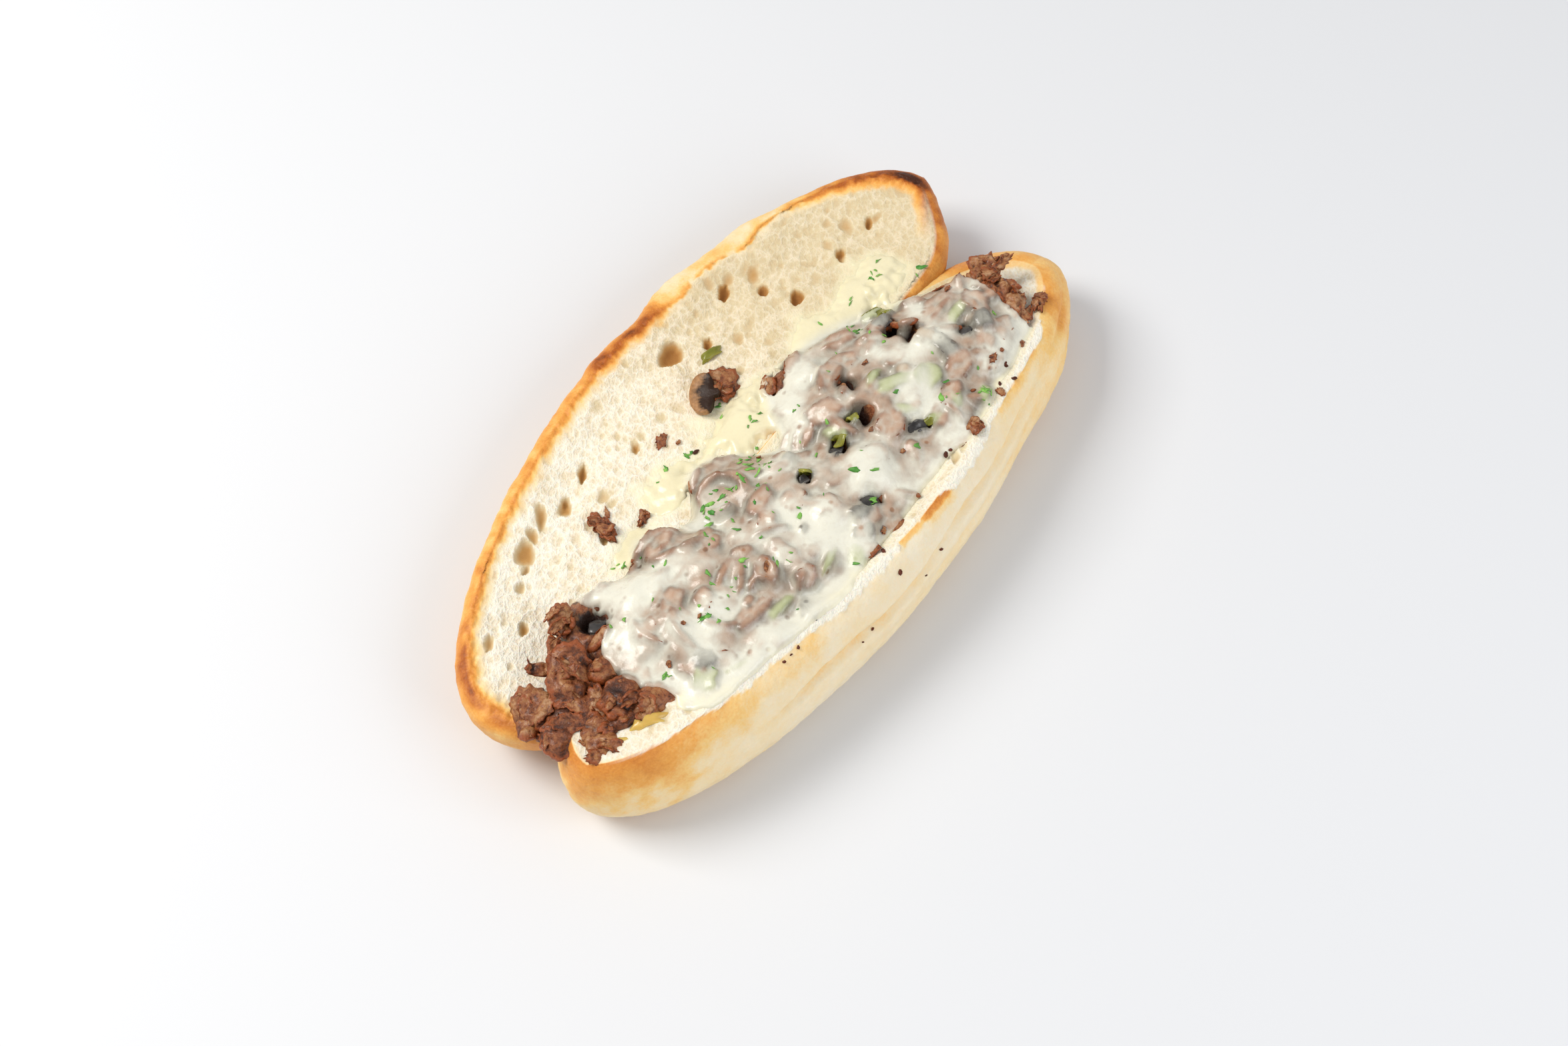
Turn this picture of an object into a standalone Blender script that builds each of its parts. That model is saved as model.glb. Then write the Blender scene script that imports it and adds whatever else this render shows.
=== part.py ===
"""Steak and cheese sub: a long roll split along one side and opened flat like a book.

The lower half lies along -Y and carries chopped steak, mushrooms, peppers and onions under
melted cheese. The upper half lies along +Y with its crumb up, joined to the lower half by the
uncut crust between them. +X runs along the roll, +Z is up and Z = 0 is what it rests on.
Lengths in the constants are millimetres, and MM turns them into metres.
"""

import math
import random
from dataclasses import dataclass

import bmesh
import bpy
from mathutils import Matrix, Vector, noise
from mathutils.bvhtree import BVHTree

MM = 0.001
SEED = 29
GAP = 0.32  # between pieces that touch

# Roll
LEAF_HALF_LENGTH = 138.5
LEAF_AXIS_Y = 18.0
LEAF_OUTER = 57.5  # from the leaf's axis to its free edge
LEAF_INNER = 29.5  # from the leaf's axis to the fold
LEAF_HEIGHT = 29.5
BASE_HALF_LENGTH = 138.3
BASE_OUTER = 46.0  # from the base's axis to the outside of its wall
BASE_INNER = 31.0  # from the base's axis to the fold
FOLD_Y = 2.0  # how far the base reaches past the fold line
BASE_HEIGHT = 43.0
HINGE_HEIGHT = 33.0
FLOOR_HEIGHT = 17.0  # crumb under the filling, in the middle of the base
LEAF_UNDER = 23.0  # how far the leaf's rounded crust tucks in before it lies flat
BASE_UNDER = 15.0
ROLL_TRIANGLES = 3300

# Filling and cheese
HEAP_HEIGHT = 47.5
FILLING_TRIANGLES = 4000
CHEESE_THICKNESS = 2.9
PARSLEY_FLAKES = 16


def smooth(low, high, x):
    """0 below low, 1 above high, with a soft step between."""
    t = min(max((x - low) / (high - low), 0.0), 1.0)
    return t * t * (3 - 2 * t)


def bump(x, centre, width):
    """A soft hump of height 1 about a centre."""
    return math.exp(-(((x - centre) / width) ** 2))


def spot(x, y, cx, cy, width):
    """A soft round hump of height 1 about a point."""
    return math.exp(-((x - cx) ** 2 + (y - cy) ** 2) / width**2)


def soft_min(a, b, reach):
    """The smaller of two lengths, blended where they are within reach of each other."""
    h = max(reach - abs(a - b), 0.0) / reach
    return min(a, b) - h * h * reach / 4


def rough(x, y, z, size, seed=0.0):
    """Smooth noise between about -1 and 1, with features of the given size."""
    return noise.noise(Vector((x / size + seed, y / size - seed, z / size + 3.1 * seed)))


@dataclass
class Half:
    """One half of the roll, in plan a lopsided oval about its own axis.

    Its sides are swept by an angle that starts at the +X end and turns through +Y.
    """

    centre_x: float
    half_length: float
    upper: float  # widest distance from the axis on the +Y side
    lower: float

    def axis(self, x):
        return 0.0

    def side(self, x, s, up, right):
        """Distance from the axis to the outline at x, where s is |x| over the half length."""
        return 0.0

    def plan(self, angle, rho, inset):
        """The point at a share rho of the way from the middle to the outline, drawn in by inset."""
        p = rho * math.cos(angle)
        q = rho * math.sin(angle)
        up, right = q >= 0, p >= 0
        x = self.centre_x + (self.half_length - inset) * p
        across = q / math.sqrt(max(1 - p * p, 1e-9))
        widest = self.upper if up else self.lower
        side = self.side(x, abs(p), up, right) * (1 - inset / widest)
        return x, self.axis(x) + across * side


class Leaf(Half):
    """The opened upper half, lying on its domed crust."""

    def axis(self, x):
        return LEAF_AXIS_Y

    def side(self, x, s, up, right):
        if up:
            end = math.sqrt(max(1 - s ** (1.8 if right else 1.65), 0))
            lobes = 3.2 * bump(x, 45, 12) + 3.4 * bump(x, 80, 13) - 1.6 * bump(x, 24, 9)
            return (LEAF_OUTER + lobes) * end + 0.7 * rough(x, 0, 0, 9, 1.3) * end
        if right:
            return soft_min(72 * max(1 - s * s, 0) ** 0.85, self.lower, 9)
        return soft_min(46 * math.sqrt(max(1 - s**4.0, 0)), self.lower, 9)

    def edge_inset(self, angle, x):
        """How far the cut edge lies inside the widest part of the crust."""
        lobes = max(math.sin(angle), 0) * (6.5 * bump(x, 44, 12) + 7.5 * bump(x, 76, 13))
        return 4.2 + lobes

    def edge_height(self, angle):
        fold = max(-math.sin(angle), 0)
        right = max(math.cos(angle), 0)
        return LEAF_HEIGHT + (HINGE_HEIGHT - LEAF_HEIGHT) * fold + 3.0 * right**3

    def top(self, angle, rho, x, y):
        """Height of the crumb: a shallow dish inside a raised, toasted rim."""
        rim = self.edge_height(angle)
        outer = 0.5 + 0.5 * math.sin(angle)
        dish = (2.6 + 1.4 * outer) * smooth(0.0, 1.0, (1 - rho) * 4.0)
        waves = 1.0 * rough(x, y, 0, 30, 2.2) + 0.55 * rough(x, y, 0, 11, 4.7)
        return rim - dish + waves * smooth(0, 0.15, 1 - rho)

    def crust(self, angle, t, x):
        """Inset and height down the crust, from the cut edge at t = 0 to the underside at t = 1."""
        edge, rim = self.edge_inset(angle, x), self.edge_height(angle)
        widest = rim - 5.5
        if t < 0.3:
            turn = math.pi / 2 * (1 - t / 0.3)
            return edge * (1 - math.cos(turn)), widest + 5.5 * math.sin(turn)
        turn = math.pi / 2 * (t - 0.3) / 0.7
        return LEAF_UNDER * (1 - math.cos(turn)), widest * (1 - math.sin(turn))


class Base(Half):
    """The lower half, a channel whose outer wall stands up beside the filling."""

    def axis(self, x):
        return -30.0 - 8.0 * x / BASE_HALF_LENGTH

    def side(self, x, s, up, right):
        if up:
            end = math.sqrt(max(1 - s ** (3.4 if right else 3.0), 0))
            return soft_min(38 * end, FOLD_Y - self.axis(x), 6)
        end = math.sqrt(max(1 - s ** (2.0 if right else 2.2), 0))
        dips = 1.8 * bump(x, 60, 20) - 1.0 * bump(x, 102, 12) - 0.8 * bump(x, -20, 22)
        return (BASE_OUTER - dips) * end

    def edge_inset(self, angle, x):
        wall = max(-math.sin(angle), 0)
        left, right = max(-math.cos(angle), 0), max(math.cos(angle), 0)
        return 2 + 9.5 * wall + 8 * left * wall + 4 * left + 10 * right**2

    def edge_height(self, angle):
        wall = max(-math.sin(angle), 0)
        left, right = max(-math.cos(angle), 0), max(math.cos(angle), 0)
        rise = (BASE_HEIGHT - HINGE_HEIGHT) * wall**0.7 + 5.5 * left**2
        return HINGE_HEIGHT + rise - 3.0 * right**2

    def top(self, angle, rho, x, y):
        """Height of the crumb: a wide torn edge, then down to the bottom of the channel."""
        rim = self.edge_height(angle)
        floor = FLOOR_HEIGHT + 12 * smooth(0.55, 0.97, abs(x - self.centre_x) / self.half_length)
        wall = smooth(0.26, 0.84, rho)
        shoulder = 3.4 * (1 - smooth(0.80, 1.0, rho)) * max(-math.sin(angle), 0)
        waves = 0.9 * rough(x, y, 0, 22, 8.1) * smooth(0.0, 0.1, 1 - rho)
        return floor + (rim - floor) * wall - shoulder * wall + waves

    def crust(self, angle, t, x):
        edge, rim = self.edge_inset(angle, x), self.edge_height(angle)
        widest = 17.5
        wall = max(-math.sin(angle), 0)
        if t < 0.55:
            turn = math.radians(80) * (1 - t / 0.55)
            inset = edge * (1 - math.cos(turn)) / (1 - math.cos(math.radians(80)))
            height = widest + (rim - widest) * math.sin(turn) / math.sin(math.radians(80))
            level = 21 + 3 * math.sin(x / 38.0)
            crease = 1.7 * bump(height, level, 2.6) + 1.0 * bump(height, level + 8, 2.2) * smooth(-20, 60, x)
            return inset + wall * crease, height
        turn = math.pi / 2 * (t - 0.55) / 0.45
        return BASE_UNDER * (1 - math.cos(turn)), widest * (1 - math.sin(turn))


LEAF = Leaf(0.5, LEAF_HALF_LENGTH, LEAF_OUTER, LEAF_INNER)
BASE = Base(-1.2, BASE_HALF_LENGTH, BASE_INNER, BASE_OUTER)


def clear_scene():
    for obj in list(bpy.data.objects):
        bpy.data.objects.remove(obj, do_unlink=True)


def make_material(name, colour, roughness):
    """A Principled BSDF material of one plain colour."""
    material = bpy.data.materials.new(name)
    material.use_nodes = True
    shader = material.node_tree.nodes["Principled BSDF"]
    shader.inputs["Base Color"].default_value = (*colour, 1)
    shader.inputs["Roughness"].default_value = roughness
    shader.inputs["Metallic"].default_value = 0.0
    return material


def to_object(name, bm, collection, material=None):
    """Turn a bmesh in millimetres into an object in metres."""
    bmesh.ops.recalc_face_normals(bm, faces=bm.faces)
    bmesh.ops.scale(bm, vec=(MM, MM, MM), verts=bm.verts)
    mesh = bpy.data.meshes.new(name)
    bm.to_mesh(mesh)
    bm.free()
    obj = bpy.data.objects.new(name, mesh)
    if material:
        mesh.materials.append(material)
    collection.objects.link(obj)
    return obj


def apply_modifiers(obj):
    """Replace an object's mesh by what its modifiers make of it."""
    graph = bpy.context.evaluated_depsgraph_get()
    made = bpy.data.meshes.new_from_object(obj.evaluated_get(graph))
    old = obj.data
    obj.modifiers.clear()
    obj.data = made
    made.name = obj.name
    bpy.data.meshes.remove(old)


def keep_largest_body(obj, weld=0.0):
    """Drop loose scraps and sealed hollows, and leave one closed body."""
    bm = bmesh.new()
    bm.from_mesh(obj.data)
    if weld:
        bmesh.ops.dissolve_degenerate(bm, dist=weld * MM, edges=bm.edges)
        bmesh.ops.triangulate(bm, faces=[face for face in bm.faces if len(face.verts) > 3])
    left = set(bm.verts)
    bodies = []
    while left:
        body, edge = set(), [left.pop()]
        while edge:
            vert = edge.pop()
            body.add(vert)
            for link in vert.link_edges:
                other = link.other_vert(vert)
                if other in left:
                    left.remove(other)
                    edge.append(other)
        bodies.append(body)
    bodies.sort(key=len)
    loose = [vert for body in bodies[:-1] for vert in body]
    bmesh.ops.delete(bm, geom=loose, context="VERTS")
    bm.to_mesh(obj.data)
    bm.free()


def is_closed(mesh):
    """Whether every edge joins exactly two faces that face the same way."""
    bm = bmesh.new()
    bm.from_mesh(mesh)
    closed = all(edge.is_manifold and edge.is_contiguous for edge in bm.edges)
    bm.free()
    return closed


def merge_flats(obj, degrees=1.5):
    """Join the fragments that a cut leaves of one flat face, and triangulate again."""
    bm = bmesh.new()
    bm.from_mesh(obj.data)
    bmesh.ops.dissolve_limit(
        bm, angle_limit=math.radians(degrees), use_dissolve_boundaries=False, verts=bm.verts, edges=bm.edges
    )
    bmesh.ops.triangulate(bm, faces=bm.faces, quad_method="BEAUTY", ngon_method="BEAUTY")
    merged = obj.data.copy()
    bm.to_mesh(merged)
    bm.free()
    if is_closed(merged):
        obj.data = merged


def remove_all(collection):
    for obj in list(collection.objects):
        bpy.data.objects.remove(obj, do_unlink=True)
    bpy.data.collections.remove(collection)


def combine(obj, pieces, operation, solver="EXACT"):
    """One Boolean of an object with a whole collection, applied, and the collection emptied."""
    modifier = obj.modifiers.new(operation.title(), "BOOLEAN")
    modifier.operation = operation
    modifier.operand_type = "COLLECTION"
    modifier.collection = pieces
    modifier.solver = solver
    apply_modifiers(obj)
    remove_all(pieces)
    keep_largest_body(obj)
    merge_flats(obj)


def decimate(obj, triangles):
    """Thin a mesh out to about this many triangles, or a few more where that keeps it closed."""
    whole = obj.data.copy()
    whole.calc_loop_triangles()
    now = len(whole.loop_triangles)
    while triangles < now:
        modifier = obj.modifiers.new("Decimate", "DECIMATE")
        modifier.ratio = triangles / now
        modifier.use_collapse_triangulate = True
        apply_modifiers(obj)
        if is_closed(obj.data):
            break
        obj.data = whole.copy()
        triangles = int(triangles * 1.03) + 1
    bpy.data.meshes.remove(whole)


def trim_round(obj, neighbours, gap=GAP):
    """Cut an object back wherever it comes within the gap of its neighbours."""
    cutters = bpy.data.collections.new("room")
    bpy.context.scene.collection.children.link(cutters)
    for neighbour in neighbours:
        grown_copy(neighbour, gap, cutters)
    combine(obj, cutters, "DIFFERENCE", "MANIFOLD")


def grown_copy(obj, by, collection):
    """A copy whose surface stands off the original, used to cut a gap round it."""
    copy = bpy.data.objects.new(obj.name + "_grown", obj.data.copy())
    collection.objects.link(copy)
    modifier = copy.modifiers.new("Displace", "DISPLACE")
    modifier.strength = by * MM
    modifier.mid_level = 0.0
    modifier.direction = "NORMAL"
    apply_modifiers(copy)
    copy.hide_render = True
    copy.display_type = "WIRE"
    return copy


class Ground:
    """Heights of what already lies there, found by looking straight down on some objects."""

    def __init__(self, *objects):
        self.trees = []
        for obj in objects:
            bm = bmesh.new()
            bm.from_mesh(obj.data)
            self.trees.append(BVHTree.FromBMesh(bm))
            bm.free()

    def height(self, x, y):
        """The highest point over (x, y) in millimetres, or None where there is nothing."""
        found = None
        for tree in self.trees:
            hit = tree.ray_cast(Vector((x * MM, y * MM, 0.2)), Vector((0, 0, -1)))[0]
            if hit is not None and (found is None or hit.z / MM > found):
                found = hit.z / MM
        return found

    def slope(self, x, y):
        """A unit normal of the ground near (x, y), from heights a little way apart."""
        d = 2.5
        here = self.height(x, y) or 0.0
        dx = (self.height(x + d, y) or here) - (self.height(x - d, y) or here)
        dy = (self.height(x, y + d) or here) - (self.height(x, y - d) or here)
        return Vector((-dx, -dy, 2 * d)).normalized()


def half_mesh(half, around, across, down, flat):
    """One half of the roll from a sphere: crumb above the cut edge, crust below it, then the flat."""
    bm = bmesh.new()
    rings = across + down + flat
    bmesh.ops.create_uvsphere(bm, u_segments=around, v_segments=rings, radius=1)
    for vert in bm.verts:
        ring = round((math.pi / 2 - math.asin(max(-1.0, min(1.0, vert.co.z)))) / math.pi * rings)
        angle = math.atan2(vert.co.y, vert.co.x)
        if ring <= across:
            rho = 1 - (1 - ring / across) ** 1.25
            x, _ = half.plan(angle, rho, 5)
            inset = half.edge_inset(angle, x)
            x, y = half.plan(angle, rho, inset)
            z = half.top(angle, rho, x, y)
            if ring == across:
                z = half.top(angle, 1.0, x, y)
        else:
            t = min((ring - across) / down, 1.0)
            x, _ = half.plan(angle, 1.0, 5)
            inset, z = half.crust(angle, t, x)
            lift = 0.5 * rough(x, math.sin(angle) * 40, z, 16, 5.5) * math.sin(math.pi * min(t, 1))
            rho = 1.0 if ring <= across + down else 1 - (ring - across - down) / flat
            x, y = half.plan(angle, rho, inset - lift)
            z = max(z, 0.0) if ring < across + down else 0.0
        vert.co = (x, y, z)
    return bm


def blob(centre, radii, turn=0.0, tilt=0.0, subdivisions=2):
    """A small faceted ellipsoid."""
    bm = bmesh.new()
    bmesh.ops.create_icosphere(bm, subdivisions=subdivisions, radius=1)
    place = (
        Matrix.Translation(Vector(centre))
        @ Matrix.Rotation(turn, 4, "Z")
        @ Matrix.Rotation(tilt, 4, "Y")
        @ Matrix.Diagonal((*radii, 1))
    )
    bmesh.ops.transform(bm, matrix=place, verts=bm.verts)
    return bm


def place(bm, centre, turn=0.0, tilt=0.0, roll=0.0):
    """Turn a piece about its own axes (degrees) and put it at its centre."""
    matrix = (
        Matrix.Translation(Vector(centre))
        @ Matrix.Rotation(math.radians(turn), 4, "Z")
        @ Matrix.Rotation(math.radians(tilt), 4, "Y")
        @ Matrix.Rotation(math.radians(roll), 4, "X")
    )
    bmesh.ops.transform(bm, matrix=matrix, verts=bm.verts)
    return bm


def steak_slice(length, width, thickness, seed, curl=0.35, subdivisions=2):
    """A crumpled lump of shaved steak: a flattened ball, bent along its length, with ragged edges."""
    bm = bmesh.new()
    bmesh.ops.create_icosphere(bm, subdivisions=subdivisions, radius=0.5)
    for vert in bm.verts:
        x, y, z = vert.co * 2
        ragged = 1 + 0.26 * rough(x, y, z, 0.8, seed) + 0.12 * rough(x, y, z, 0.35, seed + 7)
        bend = curl * length * 0.25 * (x * x - 0.5) + 0.12 * width * math.sin(3 * y + seed)
        vert.co = (x * ragged * length / 2, y * ragged * width / 2, z * ragged * thickness / 2 + bend * 0.5)
    return bm


# Bubbles in the crumb: x, y, length, width, depth, and the way the length runs in degrees.
LEAF_BUBBLES = (
    (-39.7, 49.9, 9.5, 3.8, 4.5, 34), (-54.1, 46.8, 10, 5.5, 6.5, 34), (-62.5, 51.0, 12, 4.2, 3.6, 40),
    (-77.7, 46.5, 11, 7.5, 4.2, 30), (-70.5, 48.6, 7, 4, 3.4, 60), (-112.8, 34.9, 7, 3.6, 3.2, 30),
    (-89.3, 39.7, 6, 4, 3, 20), (19.0, 52.9, 12, 10, 4.6, 10), (64.9, 27.8, 7.5, 5.4, 3.6, 34),
    (61.5, 40.5, 6.5, 4, 3, 34), (52.9, 52.5, 8, 4.5, 3.4, 30), (89.8, 24.5, 7, 4, 3, 40),
    (-101.4, 29.0, 6, 3.6, 2.6, 34), (-125.0, 11.5, 6, 3.2, 2.6, 50), (-57.2, 27.2, 5, 3.6, 2.4, 34),
    (30.9, 44.6, 6, 3.6, 2.8, 34), (-20.6, 40.2, 5, 3.4, 2.4, 34), (107.9, 23.6, 6, 3.4, 2.8, 34),
)


# Burnt scraps of crust that stand proud of the leaf's rim: x, y, z, length, width, thickness, turn.
RIM_CRAGS = ((134.5, 14.0, 32.5, 13, 4, 4, 58), (-30.5, 70.0, 29.0, 8, 4, 4, 20), (-39.0, 68.0, 28.5, 6, 3.4, 3.4, 15))


def build_roll(parts, material):
    """Both halves of the roll, fused along the fold, with the larger bubbles cut out of the crumb."""
    pieces = bpy.data.collections.new("roll_pieces")
    bpy.context.scene.collection.children.link(pieces)
    to_object("base_half", half_mesh(BASE, 120, 15, 11, 3), pieces)
    for i, (x, y, z, length, width, thickness, turn) in enumerate(RIM_CRAGS):
        crag = steak_slice(length, width, thickness, 3.7 * i + 2)
        to_object(f"crag_{i}", place(crag, (x, y, z), turn), pieces)
    roll = to_object("roll", half_mesh(LEAF, 132, 15, 9, 3), parts, material)
    combine(roll, pieces, "UNION")
    decimate(roll, ROLL_TRIANGLES)
    cutters = bpy.data.collections.new("bubbles")
    bpy.context.scene.collection.children.link(cutters)
    ground = Ground(roll)
    for i, (x, y, length, width, depth, degrees) in enumerate(LEAF_BUBBLES):
        centre = (x, y, ground.height(x, y) - 0.15 * depth)
        cutter = to_object(
            f"bubble_{i}",
            blob(centre, (length / 2, width / 2, depth), math.radians(degrees), 0.0, 1 if length < 9 else 2),
            cutters,
        )
        cutter.hide_render = True
        cutter.display_type = "WIRE"
    combine(roll, cutters, "DIFFERENCE")
    return roll


def mushroom_slice(size, thickness):
    """A slice through a mushroom: domed cap above a short stem, with the notch of the gills between."""
    outline = []
    for i in range(11):
        angle = math.pi * i / 10
        outline.append((0.5 * math.cos(angle), 0.12 + 0.42 * math.sin(angle) ** 0.8))
    outline += [(-0.44, 0.0), (-0.26, -0.02), (-0.15, 0.03), (-0.13, -0.34), (0.0, -0.42)]
    outline += [(0.13, -0.34), (0.15, 0.03), (0.26, -0.02), (0.44, 0.0)]
    bm = bmesh.new()
    verts = [bm.verts.new((x * size, y * size, -thickness / 2)) for x, y in outline]
    face = bm.faces.new(verts)
    made = bmesh.ops.extrude_face_region(bm, geom=[face])
    top = [item for item in made["geom"] if isinstance(item, bmesh.types.BMVert)]
    bmesh.ops.translate(bm, vec=(0, 0, thickness), verts=top)
    bmesh.ops.triangulate(bm, faces=bm.faces)
    for vert in bm.verts:
        vert.co.z += 0.9 * (vert.co.x / size) ** 2 * 4 * 0.25 * thickness
    return bm


def pepper_piece(length, width, thickness, arch):
    """A piece of green pepper: a short curved strip of its wall."""
    bm = bmesh.new()
    bmesh.ops.create_cube(bm, size=1)
    ends = [edge for edge in bm.edges if abs((edge.verts[0].co - edge.verts[1].co).x) > 0.5]
    bmesh.ops.subdivide_edges(bm, edges=ends, cuts=3, use_grid_fill=True)
    for vert in bm.verts:
        x, y, z = vert.co
        taper = 1 - 0.5 * (2 * x) ** 2 * 0.6
        vert.co = (x * length, y * width * taper, z * thickness + arch * (0.5 - 2 * x * x))
    return bm


# Steak lying bare past the cheese: x, y, z, length, width, thickness, turn, tilt, roll in degrees.
LOW_END_STEAK = (
    (-111.1, 1.3, 39.5, 24, 16, 8, 34, -6, 8), (-126.5, 6.0, 34.0, 20, 17, 8, 75, 8, -10),
    (-120.2, -8.5, 37.5, 26, 15, 8, -20, 4, 0), (-131.5, -8.5, 36.5, 16, 15, 9, 10, -10, 6),
    (-123.5, -20.5, 38.0, 21, 14, 8, 55, -4, -14), (-108.9, -18.6, 41.5, 17, 16, 8, 20, 6, 10),
    (-104.5, -28.0, 40.5, 19, 13, 7, -40, 4, 16), (-101.6, 7.6, 39.5, 15, 11, 7, 60, 0, 20),
    (-101.3, -5.1, 38.5, 14, 12, 7, -10, 10, 0), (-134.0, 4.0, 32.5, 13, 9, 6, 40, 20, 0),
    (-95.5, 16.5, 37.5, 13, 9, 6, 30, 0, 30), (-113.5, -24.5, 40.0, 20, 7, 5, -32, 0, 0),
    (-113.5, 12.0, 36.0, 11, 5, 4, 130, -25, 0), (-134.6, -1.6, 31.5, 10, 3.4, 3.2, 40, 60, 0),
    (-113.0, -11.0, 36.0, 18, 15, 7, 5, 0, 0), (-100.5, -35.0, 38.5, 9, 5, 4, -30, 0, 0),
)
HIGH_END_STEAK = (
    (105.5, -28.1, 41.0, 15, 12, 7, 30, 0, 10), (112.0, -31.0, 41.5, 10, 5, 4, -20, -10, 0),
    (100.5, -36.7, 42.0, 14, 11, 7, -50, 0, 0), (100.1, -43.6, 41.0, 12, 9, 6, 20, 5, 20),
    (95.6, -48.0, 39.5, 11, 6, 5, -60, 0, 0), (97.0, -25.7, 40.0, 13, 6, 4, 150, 0, 0),
)
# Strips of onion beside the steak: x, y, z, length, width, turn.
LOW_END_ONION = ((-110.7, -30.6, 40.5, 15, 4.5, -34), (-118.5, -26.0, 38.0, 15, 6, -48))
# Gaps in the cheese where the filling looks out: x, y, half length, half width, turn in degrees.
CHEESE_HOLES = (
    (34.5, -14.0, 4.6, 3.6, 0), (24.5, -24.6, 6.5, 4.2, 30), (66.0, -11.5, 9.0, 5.0, 20),
    (77.1, -37.5, 4.5, 3.0, 30), (33.3, -45.0, 6.5, 2.6, 10), (10.3, -25.8, 5.2, 4.0, 40),
    (-6.1, -22.7, 4.0, 3.0, 40), (-0.7, -47.7, 5.5, 3.2, -20), (28.5, 3.1, 9.0, 5.0, 40),
)
HOLE_FILLINGS = (
    ("pepper", 10.3, -25.8, 8, 5, 40), ("pepper", 74.0, -6.0, 8, 4, 10), ("mushroom", 25.5, -24.0, 9, 0, 80),
    ("pepper", -6.1, -22.7, 6, 4, 100), ("mushroom", 0.0, -47.7, 8, 0, -30), ("steak", 63.0, -13.0, 12, 7, 30),
    ("steak", 28.0, 3.5, 13, 8, 40), ("steak", 34.5, -14.0, 7, 5, 0),
)
# Cheese that has run onto the crumb of the leaf: x, y, radius along x, radius along y.
CHEESE_RUNS = ((8.0, 13.0, 16, 13), (-28.0, 20.5, 10, 8), (84.0, 8.0, 23, 13), (60.0, 14.0, 9, 8))


def leaf_side_edge(x):
    """How far the filling reaches over the fold onto the leaf."""
    reach = 12 - 30 * smooth(40, 110, x)
    reach += 9 * bump(x, -88, 14) - 3 * bump(x, -64, 6) + 3 * bump(x, -54, 6) - 8 * bump(x, -37, 8)
    return reach + 4 * bump(x, -18, 9) - 17 * bump(x, 4, 11) + 4 * bump(x, 32, 9)


def wall_side_edge(x):
    """Where the filling meets the inside of the base's wall."""
    s = min(abs(x - BASE.centre_x) / BASE_HALF_LENGTH, 1.0)
    reach = 30.5 - 3.5 * smooth(45, 85, x) - 3.0 * bump(x, 20, 15)
    return BASE.axis(x) - reach * math.sqrt(1 - s**2.2)


HEAP_LOW_X, HEAP_HIGH_X = -124.0, 106.0


def heap_height(x, y):
    """The filling's upper surface, highest over the base and thin where it laps onto the leaf."""
    inner, outer = leaf_side_edge(x), wall_side_edge(x)
    b = 2 * (y - outer) / (inner - outer) - 1
    rise = 1 - 0.5 * ((b + 0.2) / 0.8) ** 2 if b < -0.2 else 1 - ((b + 0.2) / 1.2) ** 2
    ends = 1 - 0.45 * smooth(72, 112, x) - 0.72 * smooth(82, 112, -x)
    lumps = 2.3 * rough(x, y, 0, 17, 1.7) + 1.3 * rough(x, y, 0, 8.5, 4.1)
    return 33.0 + (HEAP_HEIGHT - 33.0) * max(rise, 0) * ends + lumps * (1 - smooth(0.8, 1.02, abs(b)))


def close_below(bm, depth):
    """Close an open sheet with a copy of itself whose heights depth gives."""
    made = bmesh.ops.extrude_face_region(bm, geom=list(bm.faces))
    for item in made["geom"]:
        if isinstance(item, bmesh.types.BMVert):
            item.co.z = depth(item.co.x, item.co.y, item.co.z)
    bmesh.ops.triangulate(bm, faces=bm.faces)
    return bm


def heap_outline(a, b):
    x = (HEAP_LOW_X + HEAP_HIGH_X) / 2 + (HEAP_HIGH_X - HEAP_LOW_X) / 2 * a
    inner, outer = leaf_side_edge(x), wall_side_edge(x)
    taper = math.sqrt(1 - 0.55 * abs(a) ** 6)
    return x, (inner + outer) / 2 + b * taper * (inner - outer) / 2


def build_filling(parts, material, roll):
    """The heap: a core fitted into the roll, with the bare pieces fused on at both ends."""
    ground = Ground(roll)

    def under(x, y, z):
        rest = ground.height(x, y)
        return z - 4.0 if rest is None else min(rest + 1.2, z - 1.2)

    bm = bmesh.new()
    bmesh.ops.create_grid(bm, x_segments=42, y_segments=15, size=1)
    for vert in bm.verts:
        x, y = heap_outline(vert.co.x, vert.co.y)
        vert.co = (x, y, heap_height(x, y))
    filling = to_object("steak_filling", close_below(bm, under), parts, material)
    pieces = bpy.data.collections.new("filling_pieces")
    bpy.context.scene.collection.children.link(pieces)
    for i, (x, y, z, length, width, thickness, turn, tilt, roll_by) in enumerate(LOW_END_STEAK + HIGH_END_STEAK):
        bm = steak_slice(length, width, thickness, 1.3 * i + 0.7)
        to_object(f"steak_{i}", place(bm, (x, y, z), turn, tilt, roll_by), pieces)
    for i, (x, y, z, length, width, turn) in enumerate(LOW_END_ONION):
        strip = pepper_piece(length, width, 1.6, 1.2)
        to_object(f"onion_{i}", place(strip, (x, y, z), turn, 4, -20), pieces)
    for i, (kind, x, y, length, width, turn) in enumerate(HOLE_FILLINGS):
        z = heap_height(x, y)
        if kind == "pepper":
            bm = place(pepper_piece(length, width, 1.8, 1.6), (x, y, z + 0.6), turn, 8, 12)
        elif kind == "mushroom":
            bm = place(mushroom_slice(length, 2.0), (x, y, z + 0.4), turn, 14, -10)
        else:
            bm = place(steak_slice(length, width, 4, 2.1 * i + 5), (x, y, z + 0.4), turn, 0, 0)
        to_object(f"shown_{i}", bm, pieces)
    combine(filling, pieces, "UNION", "MANIFOLD")
    trim_round(filling, [roll], 2.0 * GAP)
    decimate(filling, FILLING_TRIANGLES)
    trim_round(filling, [roll], 0.9 * GAP)
    return filling


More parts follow.
